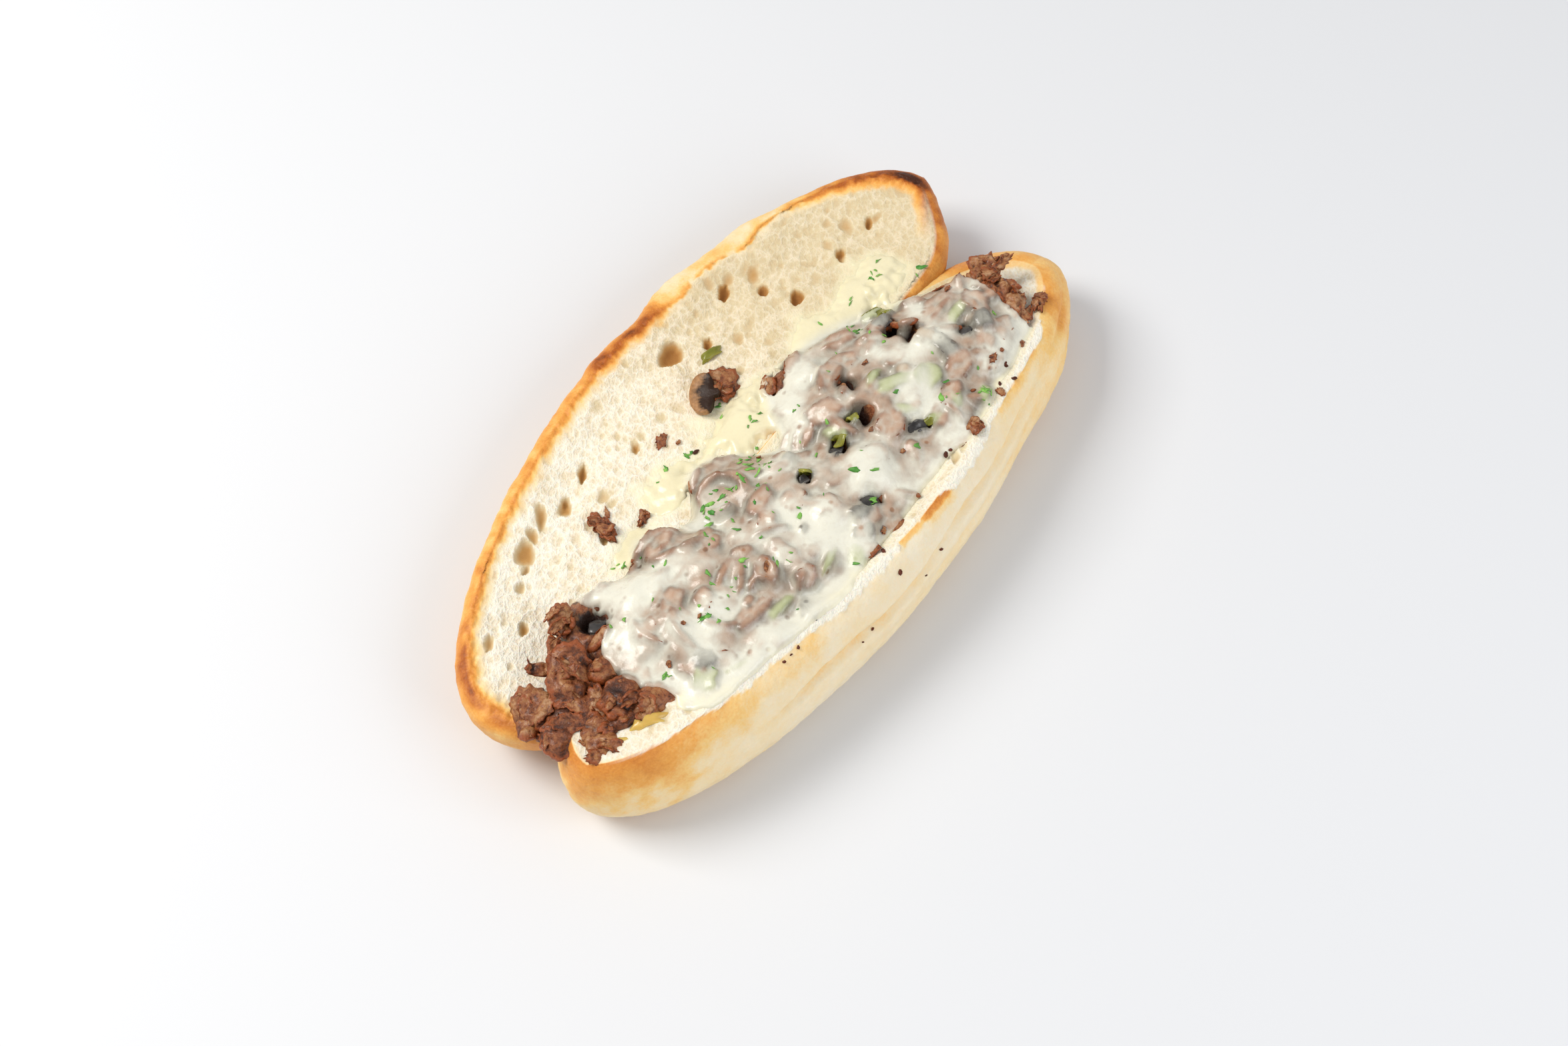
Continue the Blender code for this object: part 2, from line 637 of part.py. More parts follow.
def hole_distance(x, y, hole):
    """About how far (x, y) lies outside a hole in the cheese, negative inside it."""
    cx, cy, long, short, turn = hole
    angle = math.radians(turn)
    u = (x - cx) * math.cos(angle) + (y - cy) * math.sin(angle)
    v = -(x - cx) * math.sin(angle) + (y - cy) * math.cos(angle)
    ragged = 1 + 0.25 * rough(x, y, 0, 4, 9)
    return (math.sqrt((u / long) ** 2 + (v / short) ** 2) - ragged) * short


def cheese_cover(x, y):
    """How far (x, y) lies inside the edge of the cheese, negative where the food is bare."""
    wander = 2.0 * rough(x, y, 0, 12, 3.3) + 0.9 * rough(x, y, 0, 5, 6.1)
    s = min(abs(x - BASE.centre_x) / BASE_HALF_LENGTH, 1.0)
    wall = BASE.axis(x) - (29.5 - 2.5 * smooth(45, 85, x)) * math.sqrt(1 - s**2.2)
    wall += 1.5 * bump(x, 12, 12) - 9.0 * bump(x, -34, 12) - 1.0 * bump(x, 44, 12)
    low_end = x + 101 - 10 * smooth(-12, 2, y) - 7 * smooth(-38, -48, y) + 1.2 * math.sin(y / 4)
    high_end = 97 - x + 2.0 * math.sin(y / 6)
    over_heap = min(low_end, high_end, leaf_side_edge(x) - 0.5 - y, y - wall)
    runs = max(
        (1 - math.sqrt(((x - cx) / rx) ** 2 + ((y - cy) / ry) ** 2)) * min(rx, ry)
        for cx, cy, rx, ry in CHEESE_RUNS
    )
    cover = max(over_heap, runs) + wander * 0.7
    return min([cover] + [hole_distance(x, y, hole) for hole in CHEESE_HOLES])


def trim_sheet(bm, cover):
    """Keep the part of a flat grid where cover is positive, and draw its border onto cover = 0."""
    bare = [face for face in bm.faces if cover(*face.calc_center_median().xy) < 0]
    bmesh.ops.delete(bm, geom=bare, context="FACES")
    while True:
        pinched = [vert for vert in bm.verts if sum(edge.is_boundary for edge in vert.link_edges) > 2]
        if not pinched:
            break
        bmesh.ops.delete(bm, geom=[vert.link_faces[0] for vert in pinched if vert.link_faces], context="FACES")
    for vert in [vert for vert in bm.verts if vert.is_boundary]:
        for _ in range(3):
            x, y = vert.co.xy
            here = cover(x, y)
            slope = Vector((cover(x + 0.5, y) - here, cover(x, y + 0.5) - here)) / 0.5
            if slope.length > 0.2:
                step = -here * slope / slope.length_squared
                step.length = min(step.length, 0.7)
                vert.co.xy += step


def build_cheese(parts, material, roll, filling):
    """Melted cheese, a thin blanket over the heap that has run onto the leaf and over the wall's edge."""
    ground = Ground(roll, filling)

    def rest(x, y):
        around = [(0, 0), (2.0, 0), (-2.0, 0), (0, 2.0), (0, -2.0)]
        heights = [ground.height(x + dx, y + dy) or 20.0 for dx, dy in around]
        return max(sum(heights) / 5, heights[0] - 0.5)

    def top(x, y):
        on_leaf = smooth(leaf_side_edge(x) - 3, leaf_side_edge(x) + 3, y)
        full = CHEESE_THICKNESS * (1 - 0.2 * on_leaf) + 0.7 * rough(x, y, 0, 7, 2.9)
        return rest(x, y) + max(min(1.8 + 0.7 * cheese_cover(x, y), full), 1.7)

    def under(x, y, z):
        clear = 0.75 + 0.45 * smooth(0.5, 5.0, cheese_cover(x, y))
        return min(max(rest(x, y), (ground.height(x, y) or 20.0)) + clear, z - 0.8)

    bm = bmesh.new()
    columns, rows = 42, 22
    bmesh.ops.create_grid(bm, x_segments=columns, y_segments=rows, size=1)
    for vert in bm.verts:
        x = 2.5 + 107 * vert.co.x
        outer, inner = wall_side_edge(x) - 9, 36.0
        vert.co = (x, (inner + outer) / 2 + vert.co.y * (inner - outer) / 2, 0)
    trim_sheet(bm, cheese_cover)
    for vert in bm.verts:
        vert.co.z = top(*vert.co.xy)
    cheese = to_object("melted_cheese", close_below(bm, under), parts, material)
    keep_largest_body(cheese)
    trim_round(cheese, [roll, filling])
    flakes = bpy.data.collections.new("parsley")
    bpy.context.scene.collection.children.link(flakes)
    surface = Ground(cheese)
    draw = random.Random(SEED)
    placed = 0
    while placed < PARSLEY_FLAKES:
        x, y = draw.uniform(-88, 84), draw.uniform(-52, 14)
        if cheese_cover(x, y) < 4 or surface.height(x, y) is None:
            continue
        leaf = bmesh.new()
        bmesh.ops.create_cube(leaf, size=1)
        size = (draw.uniform(2.2, 3.4), draw.uniform(1.1, 1.7), 0.6)
        bmesh.ops.scale(leaf, vec=size, verts=leaf.verts)
        place(leaf, (x, y, surface.height(x, y) + 0.25), draw.uniform(0, 180), draw.uniform(-20, 20))
        to_object(f"flake_{placed}", leaf, flakes)
        placed += 1
    combine(cheese, flakes, "UNION", "MANIFOLD")
    return cheese


# Pieces that lie apart: name, kind, x, y, size, width, thickness, turn, lift above what they lie on.
STRAYS = (
    ("stray_steak", "steak", 18.5, 28.0, 16, 14, 7, 20, 2.6),
    ("stray_steak_low", "steak", -53.8, 30.5, 12.5, 8, 3.6, 70, 1.5),
    ("stray_steak_high", "steak", 107.5, -50.5, 9.5, 5, 3.2, 20, 1.3),
    ("stray_pepper", "pepper", 27.2, 40.5, 13, 5, 1.6, -10, 0.9),
    ("stray_steak_mid", "steak", -43.2, 20.6, 6.5, 3.6, 2.4, 10, 1.0),
    ("stray_steak_wall", "steak", 45.0, -59.5, 9, 6.5, 4, 60, 1.6),
)


def build_strays(parts, materials, roll, others):
    """Loose pieces of the filling on the crumb of the leaf and on the ends of the base."""
    ground = Ground(roll, *others)
    made = []
    for i, (name, kind, x, y, size, width, thickness, turn, lift) in enumerate(STRAYS):
        if kind == "steak":
            bm = steak_slice(size, width, thickness, 5.3 * i + 2, 0.15)
        else:
            bm = pepper_piece(size, width, thickness, 2.0)
        flat = ground.slope(x, y)
        tilt = Vector((0, 0, 1)).rotation_difference(flat).to_matrix().to_4x4()
        turned = Matrix.Rotation(math.radians(turn), 4, "Z")
        height = ground.height(x, y) + lift
        bmesh.ops.transform(bm, matrix=Matrix.Translation((x, y, height)) @ tilt @ turned, verts=bm.verts)
        stray = to_object(name, bm, parts, materials[kind])
        trim_round(stray, [roll, *others])
        made.append(stray)
    x, y = 10.5, 31.0
    cap = place(mushroom_slice(16, 2.6), (x, y, ground.height(x, y) + 3.0), 75, 14, -6)
    mushroom = to_object("stray_mushroom", cap, parts, materials["mushroom"])
    trim_round(mushroom, [roll, *others, *made])


def main():
    clear_scene()
    parts = bpy.data.collections.new("steak_and_cheese_sub")
    bpy.context.scene.collection.children.link(parts)
    crust = make_material("roll_crust", (0.72, 0.44, 0.19), 0.6)
    meat = make_material("steak", (0.16, 0.07, 0.045), 0.5)
    cheese = make_material("cheese", (0.85, 0.80, 0.62), 0.35)
    roll = build_roll(parts, crust)
    filling = build_filling(parts, meat, roll)
    cover = build_cheese(parts, cheese, roll, filling)
    kinds = {
        "steak": meat,
        "pepper": make_material("green_pepper", (0.16, 0.22, 0.03), 0.35),
        "mushroom": make_material("mushroom", (0.30, 0.17, 0.09), 0.45),
    }
    build_strays(parts, kinds, roll, [filling, cover])


main()
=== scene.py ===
"""Steak and cheese sub: the finish of every surface, made round the solids.

The roll's two halves, the heap, the melted cheese and the loose pieces are modelled in
millimetres from the sub's own sizes, then turned into metres. +X runs along the roll, +Y from
the filled half across the fold to the opened half, +Z is up and Z = 0 is what the sub rests on.
"""

from __future__ import annotations

import logging
import random
from dataclasses import dataclass, field
from enum import Enum
from math import atan2, cos, exp, hypot, pi, radians, sin, sqrt
from typing import Callable, Sequence

import bmesh
import bpy
import numpy as np
from mathutils import Matrix, Vector, noise
from mathutils.bvhtree import BVHTree

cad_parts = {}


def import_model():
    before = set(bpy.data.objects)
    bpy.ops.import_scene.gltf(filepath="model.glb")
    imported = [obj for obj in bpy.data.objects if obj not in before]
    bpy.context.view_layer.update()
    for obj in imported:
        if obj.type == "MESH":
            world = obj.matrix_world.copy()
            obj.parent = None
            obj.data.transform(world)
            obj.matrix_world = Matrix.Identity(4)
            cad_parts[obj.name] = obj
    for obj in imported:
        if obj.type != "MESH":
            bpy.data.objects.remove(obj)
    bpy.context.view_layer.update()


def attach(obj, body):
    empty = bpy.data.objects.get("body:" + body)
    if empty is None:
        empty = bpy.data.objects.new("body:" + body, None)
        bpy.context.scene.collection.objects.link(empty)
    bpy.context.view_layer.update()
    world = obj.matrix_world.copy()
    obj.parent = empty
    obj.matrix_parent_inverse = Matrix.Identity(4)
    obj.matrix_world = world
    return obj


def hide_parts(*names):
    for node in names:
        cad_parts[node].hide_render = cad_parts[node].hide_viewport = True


log = logging.getLogger("sub")

MM = 0.001
BODY = "root"

SKY = 200.0  # a height above everything, in millimetres
GRAIN_TURN = 34  # which way the crumb's bubbles are drawn out, in degrees from +X
ABOUT_INSET = 5.0  # about how far the cut edge lies inside the widest outline, in millimetres
SLOPE_REACH = 5.0  # how far to each side a piece of filling feels the slope below it, in millimetres
FOOD_IOR = 1.45
COAT_ROUGHNESS = 0.12

Point = tuple[float, float]
Triple = tuple[float, float, float]
Colour = tuple[float, float, float, float]
Stops = tuple[tuple[float, str], ...]
Tint = Callable[[int], Triple]
Shape = bmesh.types.BMesh
Nodes = bpy.types.NodeTree
Socket = bpy.types.NodeSocket
Inputs = dict[str | int, object]


def smooth(low: float, high: float, x: float) -> float:
    """Step softly from 0 at low to 1 at high."""
    t = min(max((x - low) / (high - low), 0.0), 1.0)
    return t * t * (3 - 2 * t)


def bump(x: float, centre: float, width: float) -> float:
    """Give a soft hump of height 1 about a centre."""
    return exp(-(((x - centre) / width) ** 2))


def between(x: float, low: float, high: float, blend: float) -> float:
    """Give 1 from low to high and fall softly to 0 outside, over the blend length."""
    return smooth(low - blend, low + blend, x) * (1 - smooth(high - blend, high + blend, x))


def soft_min(a: float, b: float, reach: float) -> float:
    """Give the smaller of two lengths, blended where they are within reach of each other."""
    h = max(reach - abs(a - b), 0.0) / reach
    return min(a, b) - h * h * reach / 4


def rough(x: float, y: float, z: float, size: float, seed: float = 0.0) -> float:
    """Give smooth noise from about -1 to 1 at a place, with features of a size in millimetres."""
    return noise.noise(Vector((x / size + seed, y / size - seed, z / size + 3.1 * seed)))


def layered(x: float, y: float, z: float, *layers: Triple) -> float:
    """Add noises up at a place, each given by its strength, its size in millimetres and its seed."""
    return sum(share * rough(x, y, z, size, seed) for share, size, seed in layers)


def crumple(x: float, y: float, z: float, seed: float = 0.0) -> tuple[float, float]:
    """Give the relief of crumpled shaved steak.

    Args:
        x, y, z: Place in millimetres.
        seed: Which crumpling.

    Returns:
        Rounded lumps with narrow creases, and thin standing folds, each from about -1 to 1.
    """
    wx = x + 2.6 * rough(x, y, z, 8, seed + 1.7)
    wy = y + 2.6 * rough(x, y, z, 8, seed + 5.3)
    lumps = folds = 0.0
    for size, share in ((6.0, 0.55), (2.8, 0.30), (1.3, 0.15)):
        n = abs(rough(wx, wy, z, size, seed + size))
        lumps += share * (min(4.2 * n, 1.6) - 0.8)
        folds += share * (0.9 - 4.0 * sqrt(n * n + 0.002))
    return lumps, folds


def linear(code: str) -> Colour:
    """Turn an sRGB hex colour into linear red, green, blue and alpha.

    Args:
        code: The sRGB hex colour.

    Returns:
        Linear red, green, blue and alpha.
    """
    values = [int(code[i : i + 2], 16) / 255 for i in (1, 3, 5)]
    r, g, b = (v / 12.92 if v <= 0.04045 else ((v + 0.055) / 1.055) ** 2.4 for v in values)
    return r, g, b, 1.0


# Where melted cheese soaked into the leaf's crumb: x, y and reach along and across, in millimetres.
SOAKED = ((5, 14, 33, 17), (82, 8, 34, 14), (54, 13, 21, 11), (-28, 20, 22, 12), (-56, 17, 13, 7))


def soaked(x: float, y: float) -> float:
    """Give how far cheese soaked into the crumb at a place, from 0 to 1.

    Args:
        x, y: Place in millimetres.

    Returns:
        How far, from 0 to 1.
    """
    most = max(bump(x, cx, rx) * bump(y, cy, ry) for cx, cy, rx, ry in SOAKED)
    most *= 1 - smooth(94, 106, x)
    return smooth(0.22, 1.0, most + layered(x, y, 0, (0.34, 9, 3.3), (0.16, 3, 6.1)))


# Finishes


def add(tree: Nodes, kind: str, inputs: Inputs, out: str | int = 0, **settings: str) -> Socket:
    """Add a node to a tree.

    Args:
        tree: The material's nodes.
        kind: The node's type name.
        inputs: Input name or number to a value, or to the socket that it is linked from.
        out: The name or number of the output to give.
        settings: The node's own settings.

    Returns:
        The output.
    """
    node = tree.nodes.new(kind)
    for name, value in settings.items():
        setattr(node, name, value)
    for name, value in inputs.items():
        if isinstance(value, Socket):
            tree.links.new(value, node.inputs[name])
        else:
            node.inputs[name].default_value = value
    return node.outputs[out]


def set_stops(ramp: bpy.types.Node, stops: Stops) -> None:
    """Give a colour ramp its stops.

    Args:
        ramp: The colour ramp.
        stops: Positions from 0 to 1 and sRGB hex colours.
    """
    elements = ramp.color_ramp.elements
    while len(elements) < len(stops):
        elements.new(1.0)
    for element, (position, code) in zip(elements, stops):
        element.position = position
        element.color = linear(code)


@dataclass(frozen=True)
class Finish:
    """A surface finish: what the material is, and the colours and relief that it shows."""

    name: str
    roughness: float
    softness: float = 0.0  # weight of the light that goes in and comes out again
    depth: float = 1.0  # how far that light travels, in millimetres
    gloss: float = 0.5  # specular level
    wet: float = 0.0  # weight of the thin wet coat
    spread: Triple = (1.0, 0.62, 0.38)  # how far red, green and blue go beside each other

    def start(self) -> tuple[bpy.types.Material, Nodes, bpy.types.Node]:
        """Start a material with its shader and the values that are the same all over.

        Returns:
            The material, its node tree and its shader.
        """
        material = bpy.data.materials.new(self.name)
        material.use_nodes = True
        shader = material.node_tree.nodes["Principled BSDF"]
        values = {
            "Roughness": self.roughness, "Metallic": 0.0, "IOR": FOOD_IOR, "Specular IOR Level": self.gloss,
            "Subsurface Weight": self.softness, "Subsurface Radius": self.spread,
            "Subsurface Scale": self.depth * MM, "Coat Weight": self.wet, "Coat Roughness": COAT_ROUGHNESS,
        }
        for name, value in values.items():
            shader.inputs[name].default_value = value
        return material, material.node_tree, shader

    @staticmethod
    def surface(
        tree: Nodes, shader: bpy.types.Node, colour: Socket, height: Socket, relief_mm: float, share: float
    ) -> None:
        """Give the shader its colour and its fine relief.

        Args:
            tree: The material's nodes.
            shader: The shader.
            colour: The colour all over.
            height: The relief's height, from 0 to 1.
            relief_mm: How high 1 is, in millimetres.
            share: How much of the relief shows.
        """
        tree.links.new(colour, shader.inputs["Base Color"])
        bumps = add(tree, "ShaderNodeBump", {"Height": height, "Distance": relief_mm * MM, "Strength": share})
        tree.links.new(bumps, shader.inputs["Normal"])


@dataclass(frozen=True)
class BakedBread(Finish):
    """White wheat bread: cream crumb with open bubbles, and a satin crust baked gold to brown.

    The mesh says where the crust is (bake), how brown it is (toast) and how deep a bubble goes (pit); the pit
    paints the crumb darker in its bubbles, partly their own tan and partly painted shade, and the froth
    paints shade in its small cells.
    """

    # The darker stops colour the crumb's cells and bubbles: painted shade, and in the bubbles partly their
    # own tan.
    crumb: Stops = ((0.0, "#fcf4e3"), (0.12, "#f5e8cf"), (0.3, "#dccaa4"), (0.7, "#c2955a"), (1.0, "#a3703a"))
    crust: Stops = (
        (0.0, "#f4e7cb"), (0.18, "#f6deb0"), (0.34, "#f7cb7e"), (0.48, "#eeaa52"),
        (0.62, "#d98b3a"), (0.76, "#b4611f"), (0.9, "#74390f"), (1.0, "#4a220e"),
    )
    cheesy: str = "#f1e8c0"
    mottle_mm: float = 7.0
    specks_mm: float = 0.9
    blisters_mm: float = 2.6
    sway_mm: float = 3.0
    cells_mm: float = 2.1
    pores_mm: float = 1.0

    def make(self) -> bpy.types.Material:
        """Build the material.

        Returns:
            The material.
        """
        material, tree, shader = self.start()
        where = add(tree, "ShaderNodeTexCoord", {}, "Object")
        toast, pit, bake, soak = (
            add(tree, "ShaderNodeAttribute", {}, "Fac", attribute_name=name)
            for name in ("toast", "pit", "bake", "soak")
        )
        noises = []
        rows = ((self.mottle_mm, 6.0, 0.62), (self.specks_mm, 3.0, 0.5), (self.blisters_mm, 7.0, 0.5))
        for size, steps, rest in rows:
            inputs = {"Vector": where, "Scale": 1 / (size * MM), "Detail": steps, "Roughness": rest}
            noises.append(add(tree, "ShaderNodeTexNoise", inputs))
        mottle, speck, blister = noises
        shift = add(tree, "ShaderNodeMath", {0: mottle, 1: 0.5}, operation="SUBTRACT")
        browned = add(tree, "ShaderNodeMath", {0: shift, 1: 0.30, 2: toast}, operation="MULTIPLY_ADD")
        fine = add(tree, "ShaderNodeMath", {0: speck, 1: 0.5}, operation="SUBTRACT")
        freckled = add(tree, "ShaderNodeMath", {0: fine, 1: 0.16, 2: browned}, operation="MULTIPLY_ADD")
        crust = add(tree, "ShaderNodeValToRGB", {"Fac": freckled})
        set_stops(crust.node, self.crust)
        froth = self.froth(tree, where, soak, pit)
        # Painted shade: the froth darkens the crumb in its small cells, and the pit in its bubbles, there
        # partly their own tan.
        crumb_tan_and_painted_light = add(tree, "ShaderNodeMath", {0: froth, 1: 0.12, 2: pit}, operation="MULTIPLY_ADD")
        drift = add(tree, "ShaderNodeMath", {0: shift, 1: 0.22, 2: crumb_tan_and_painted_light}, operation="MULTIPLY_ADD")
        crumb = add(tree, "ShaderNodeValToRGB", {"Fac": drift})
        set_stops(crumb.node, self.crumb)
        inputs = {0: soak, 6: crumb, 7: linear(self.cheesy)}
        inner = add(tree, "ShaderNodeMix", inputs, 2, data_type="RGBA")
        matt = add(tree, "ShaderNodeMapRange", {"Value": soak, "To Min": 0.9, "To Max": 0.3})
        dull = add(tree, "ShaderNodeMix", {0: bake, 2: matt, 3: self.roughness}, data_type="FLOAT")
        tree.links.new(dull, shader.inputs["Roughness"])
        loose = add(tree, "ShaderNodeMath", {0: 1.0, 1: bake}, operation="SUBTRACT")
        sunk = add(tree, "ShaderNodeMath", {0: froth, 1: loose}, operation="MULTIPLY")
        grain = add(tree, "ShaderNodeMath", {0: speck, 1: toast}, operation="MULTIPLY")
        raised = add(tree, "ShaderNodeMath", {0: grain, 1: 0.9, 2: blister}, operation="MULTIPLY_ADD")
        relief = add(tree, "ShaderNodeMath", {0: sunk, 1: -0.45, 2: raised}, operation="MULTIPLY_ADD")
        colour = add(tree, "ShaderNodeMix", {0: bake, 6: inner, 7: crust}, 2, data_type="RGBA")
        self.surface(tree, shader, colour, relief, 0.55, 0.8)
        return material

    def froth(self, tree: Nodes, where: Socket, soak: Socket, pit: Socket) -> Socket:
        """Give the dry crumb's froth: 0 on the walls between its bubbles, up to 1.6 in them.

        Args:
            tree: The material's nodes.
            where: The place that is looked at.
            soak: How far cheese soaked in.
            pit: How deep an open bubble goes, which has no froth inside.

        Returns:
            The froth.
        """
        inputs = {"Vector": where, "Scale": 1 / (self.sway_mm * MM), "Detail": 2.0}
        sway = add(tree, "ShaderNodeTexNoise", inputs, "Color")
        bend = (1.5 * MM, 1.5 * MM, 1.5 * MM)
        bent = add(tree, "ShaderNodeVectorMath", {0: sway, 1: bend, 2: where}, operation="MULTIPLY_ADD")
        stretch = {"Vector": bent, "Rotation": (0, 0, radians(GRAIN_TURN)), "Scale": (1.6, 1, 1)}
        drawn = add(tree, "ShaderNodeMapping", stretch, vector_type="TEXTURE")
        walls = []
        for size in (self.cells_mm, self.pores_mm):
            inputs = {"Vector": drawn, "Scale": 1 / (size * MM)}
            gap = add(tree, "ShaderNodeTexVoronoi", inputs, "Distance", feature="DISTANCE_TO_EDGE")
            walls.append(add(tree, "ShaderNodeMapRange", {"Value": gap, "From Min": 0.01, "From Max": 0.24}))
        airy = add(tree, "ShaderNodeMath", {0: walls[1], 1: 0.6, 2: walls[0]}, operation="MULTIPLY_ADD")
        dry = add(tree, "ShaderNodeMath", {0: 1.0, 1: soak}, operation="SUBTRACT")
        even = add(tree, "ShaderNodeMapRange", {"Value": pit, "From Max": 0.5, "To Min": 1.0, "To Max": 0.0})
        froth = add(tree, "ShaderNodeMath", {0: airy, 1: dry}, operation="MULTIPLY")
        return add(tree, "ShaderNodeMath", {0: froth, 1: even}, operation="MULTIPLY")


@dataclass(frozen=True)
class CookedSteak(Finish):
    """Shaved beef off the griddle: moist and fibrous, taupe on the flats, red-brown at torn edges, with
    painted light on its lumps' tops and painted shade in its creases.
    """

    flat: Stops = (
        (0.1, "#532812"), (0.35, "#804523"), (0.52, "#975a33"), (0.72, "#a87142"), (0.95, "#bd9069"),
    )
    seared: str = "#9c4f22"
    # The darkest colour: painted shade in the creases and under the lumps, and dark specks of grain.
    crease_shade_and_dark_grain: str = "#2c150b"
    patch_mm: float = 5.0
    fibre_mm: float = 1.3
    thread_mm: float = 0.6

    def make(self) -> bpy.types.Material:
        """Build the material.

        Returns:
            The material.
        """
        material, tree, shader = self.start()
        where = add(tree, "ShaderNodeTexCoord", {}, "Object")
        tone, edge, crease = (
            add(tree, "ShaderNodeAttribute", {}, "Fac", attribute_name=name)
            for name in ("tone", "edge", "crease")
        )
        inputs = {"Vector": where, "Scale": 1 / (self.patch_mm * MM), "Detail": 5.0, "Roughness": 0.6}
        patch = add(tree, "ShaderNodeTexNoise", inputs)
        inputs = {"Vector": where, "Scale": 1 / (self.fibre_mm * MM), "Detail": 5.0, "Distortion": 0.6}
        grain = add(tree, "ShaderNodeTexNoise", inputs)
        inputs = {"Vector": where, "Scale": 1 / (self.thread_mm * MM), "Detail": 3.0, "Distortion": 1.2}
        threads = add(tree, "ShaderNodeTexNoise", inputs)
        mixed = add(tree, "ShaderNodeMath", {0: patch, 1: 0.9, 2: tone}, operation="MULTIPLY_ADD")
        level = add(tree, "ShaderNodeMath", {0: grain, 1: 0.55, 2: mixed}, operation="MULTIPLY_ADD")
        centred = add(tree, "ShaderNodeMapRange", {"Value": level, "From Min": 0.42, "From Max": 1.0})
        ramp = add(tree, "ShaderNodeValToRGB", {"Fac": centred})
        set_stops(ramp.node, self.flat)
        torn = add(tree, "ShaderNodeMath", {0: edge, 1: grain}, operation="MULTIPLY")
        torn = add(tree, "ShaderNodeMapRange", {"Value": torn, "From Min": 0.14, "From Max": 0.42})
        inputs = {0: torn, 6: ramp, 7: linear(self.seared)}
        brown = add(tree, "ShaderNodeMix", inputs, 2, data_type="RGBA")
        # Painted shade: the crease attribute darkens the meat towards the darkest colour in its creases and
        # under its lumps; low grain adds dark specks.
        dark = add(tree, "ShaderNodeMapRange", {"Value": grain, "From Min": 0.44, "From Max": 0.30})
        dark = add(tree, "ShaderNodeMath", {0: dark, 1: 0.45, 2: crease}, operation="MULTIPLY_ADD")
        dark = add(tree, "ShaderNodeClamp", {"Value": dark})
        relief = add(tree, "ShaderNodeMath", {0: threads, 1: 0.7, 2: grain}, operation="MULTIPLY_ADD")
        inputs = {0: dark, 6: brown, 7: linear(self.crease_shade_and_dark_grain)}
        colour = add(tree, "ShaderNodeMix", inputs, 2, data_type="RGBA")
        self.surface(tree, shader, colour, relief, 0.6, 0.8)
        return material


@dataclass(frozen=True)
class MeltedCheese(Finish):
    """White cheese melted to a glossy, half-clear blanket: what lies below tints it where it is thin."""

    thick: str = "#e8e5d5"
    on_bread: str = "#eee4bf"
    veil: str = "#e6d9bd"
    streaks_mm: float = 3.2
    bits_mm: float = 7.0
    ripple_mm: float = 1.8

    def make(self) -> bpy.types.Material:
        """Build the material.

        Returns:
            The material.
        """
        material, tree, shader = self.start()
        where = add(tree, "ShaderNodeTexCoord", {}, "Object")
        # The colour below carries painted shade from the food's creases, dents and steep flanks, and painted
        # light from the steak's lumps' tops.
        below = add(tree, "ShaderNodeAttribute", {}, "Color", attribute_name="below")
        cover, warm = (
            add(tree, "ShaderNodeAttribute", {}, "Fac", attribute_name=name) for name in ("cover", "warm")
        )
        inputs = {"Vector": where, "Scale": 1 / (self.streaks_mm * MM), "Detail": 5.0, "Distortion": 1.4}
        streak = add(tree, "ShaderNodeTexNoise", inputs)
        shift = add(tree, "ShaderNodeMath", {0: streak, 1: 0.5}, operation="SUBTRACT")
        inputs = {"Vector": where, "Scale": 1 / (self.bits_mm * MM)}
        bits = add(tree, "ShaderNodeTexVoronoi", inputs, "Distance")
        inputs = {"Value": bits, "From Min": 0.07, "From Max": 0.17, "To Min": -0.4, "To Max": 0.0}
        bits = add(tree, "ShaderNodeMapRange", inputs)
        flecked = add(tree, "ShaderNodeMath", {0: bits, 1: cover}, operation="ADD")
        cover = add(tree, "ShaderNodeMix", {0: warm, 2: flecked, 3: cover}, data_type="FLOAT")
        hidden = add(tree, "ShaderNodeMath", {0: shift, 1: 0.35, 2: cover}, operation="MULTIPLY_ADD")
        hidden = add(tree, "ShaderNodeClamp", {"Value": hidden})
        inputs = {0: warm, 6: linear(self.thick), 7: linear(self.on_bread)}
        white = add(tree, "ShaderNodeMix", inputs, 2, data_type="RGBA")
        inputs = {0: 0.10, 6: below, 7: linear(self.veil)}
        tinted = add(tree, "ShaderNodeMix", inputs, 2, data_type="RGBA")
        inputs = {"Vector": where, "Scale": 1 / (self.ripple_mm * MM), "Detail": 4.0}
        ripple = add(tree, "ShaderNodeTexNoise", inputs)
        colour = add(tree, "ShaderNodeMix", {0: hidden, 6: tinted, 7: white}, 2, data_type="RGBA")
        self.surface(tree, shader, colour, ripple, 0.35, 0.5)
        return material


@dataclass(frozen=True)
class Vegetable(Finish):
    """Softened vegetable or herb: a wet skin whose colour drifts between two shades."""

    light: str = "#8f9a3c"
    dark: str = "#4c5a16"
    drift_mm: float = 4.0

    def make(self) -> bpy.types.Material:
        """Build the material.

        Returns:
            The material.
        """
        material, tree, shader = self.start()
        where = add(tree, "ShaderNodeTexCoord", {}, "Object")
        tone = add(tree, "ShaderNodeAttribute", {}, "Fac", attribute_name="tone")
        inputs = {"Vector": where, "Scale": 1 / (self.drift_mm * MM), "Detail": 4.0}
        drift = add(tree, "ShaderNodeTexNoise", inputs)
        level = add(tree, "ShaderNodeMath", {0: drift, 1: 0.8, 2: tone}, operation="MULTIPLY_ADD")
        level = add(tree, "ShaderNodeMapRange", {"Value": level, "From Min": 0.2, "From Max": 0.9})
        inputs = {0: level, 6: linear(self.dark), 7: linear(self.light)}
        colour = add(tree, "ShaderNodeMix", inputs, 2, data_type="RGBA")
        self.surface(tree, shader, colour, drift, 0.4, 0.5)
        return material


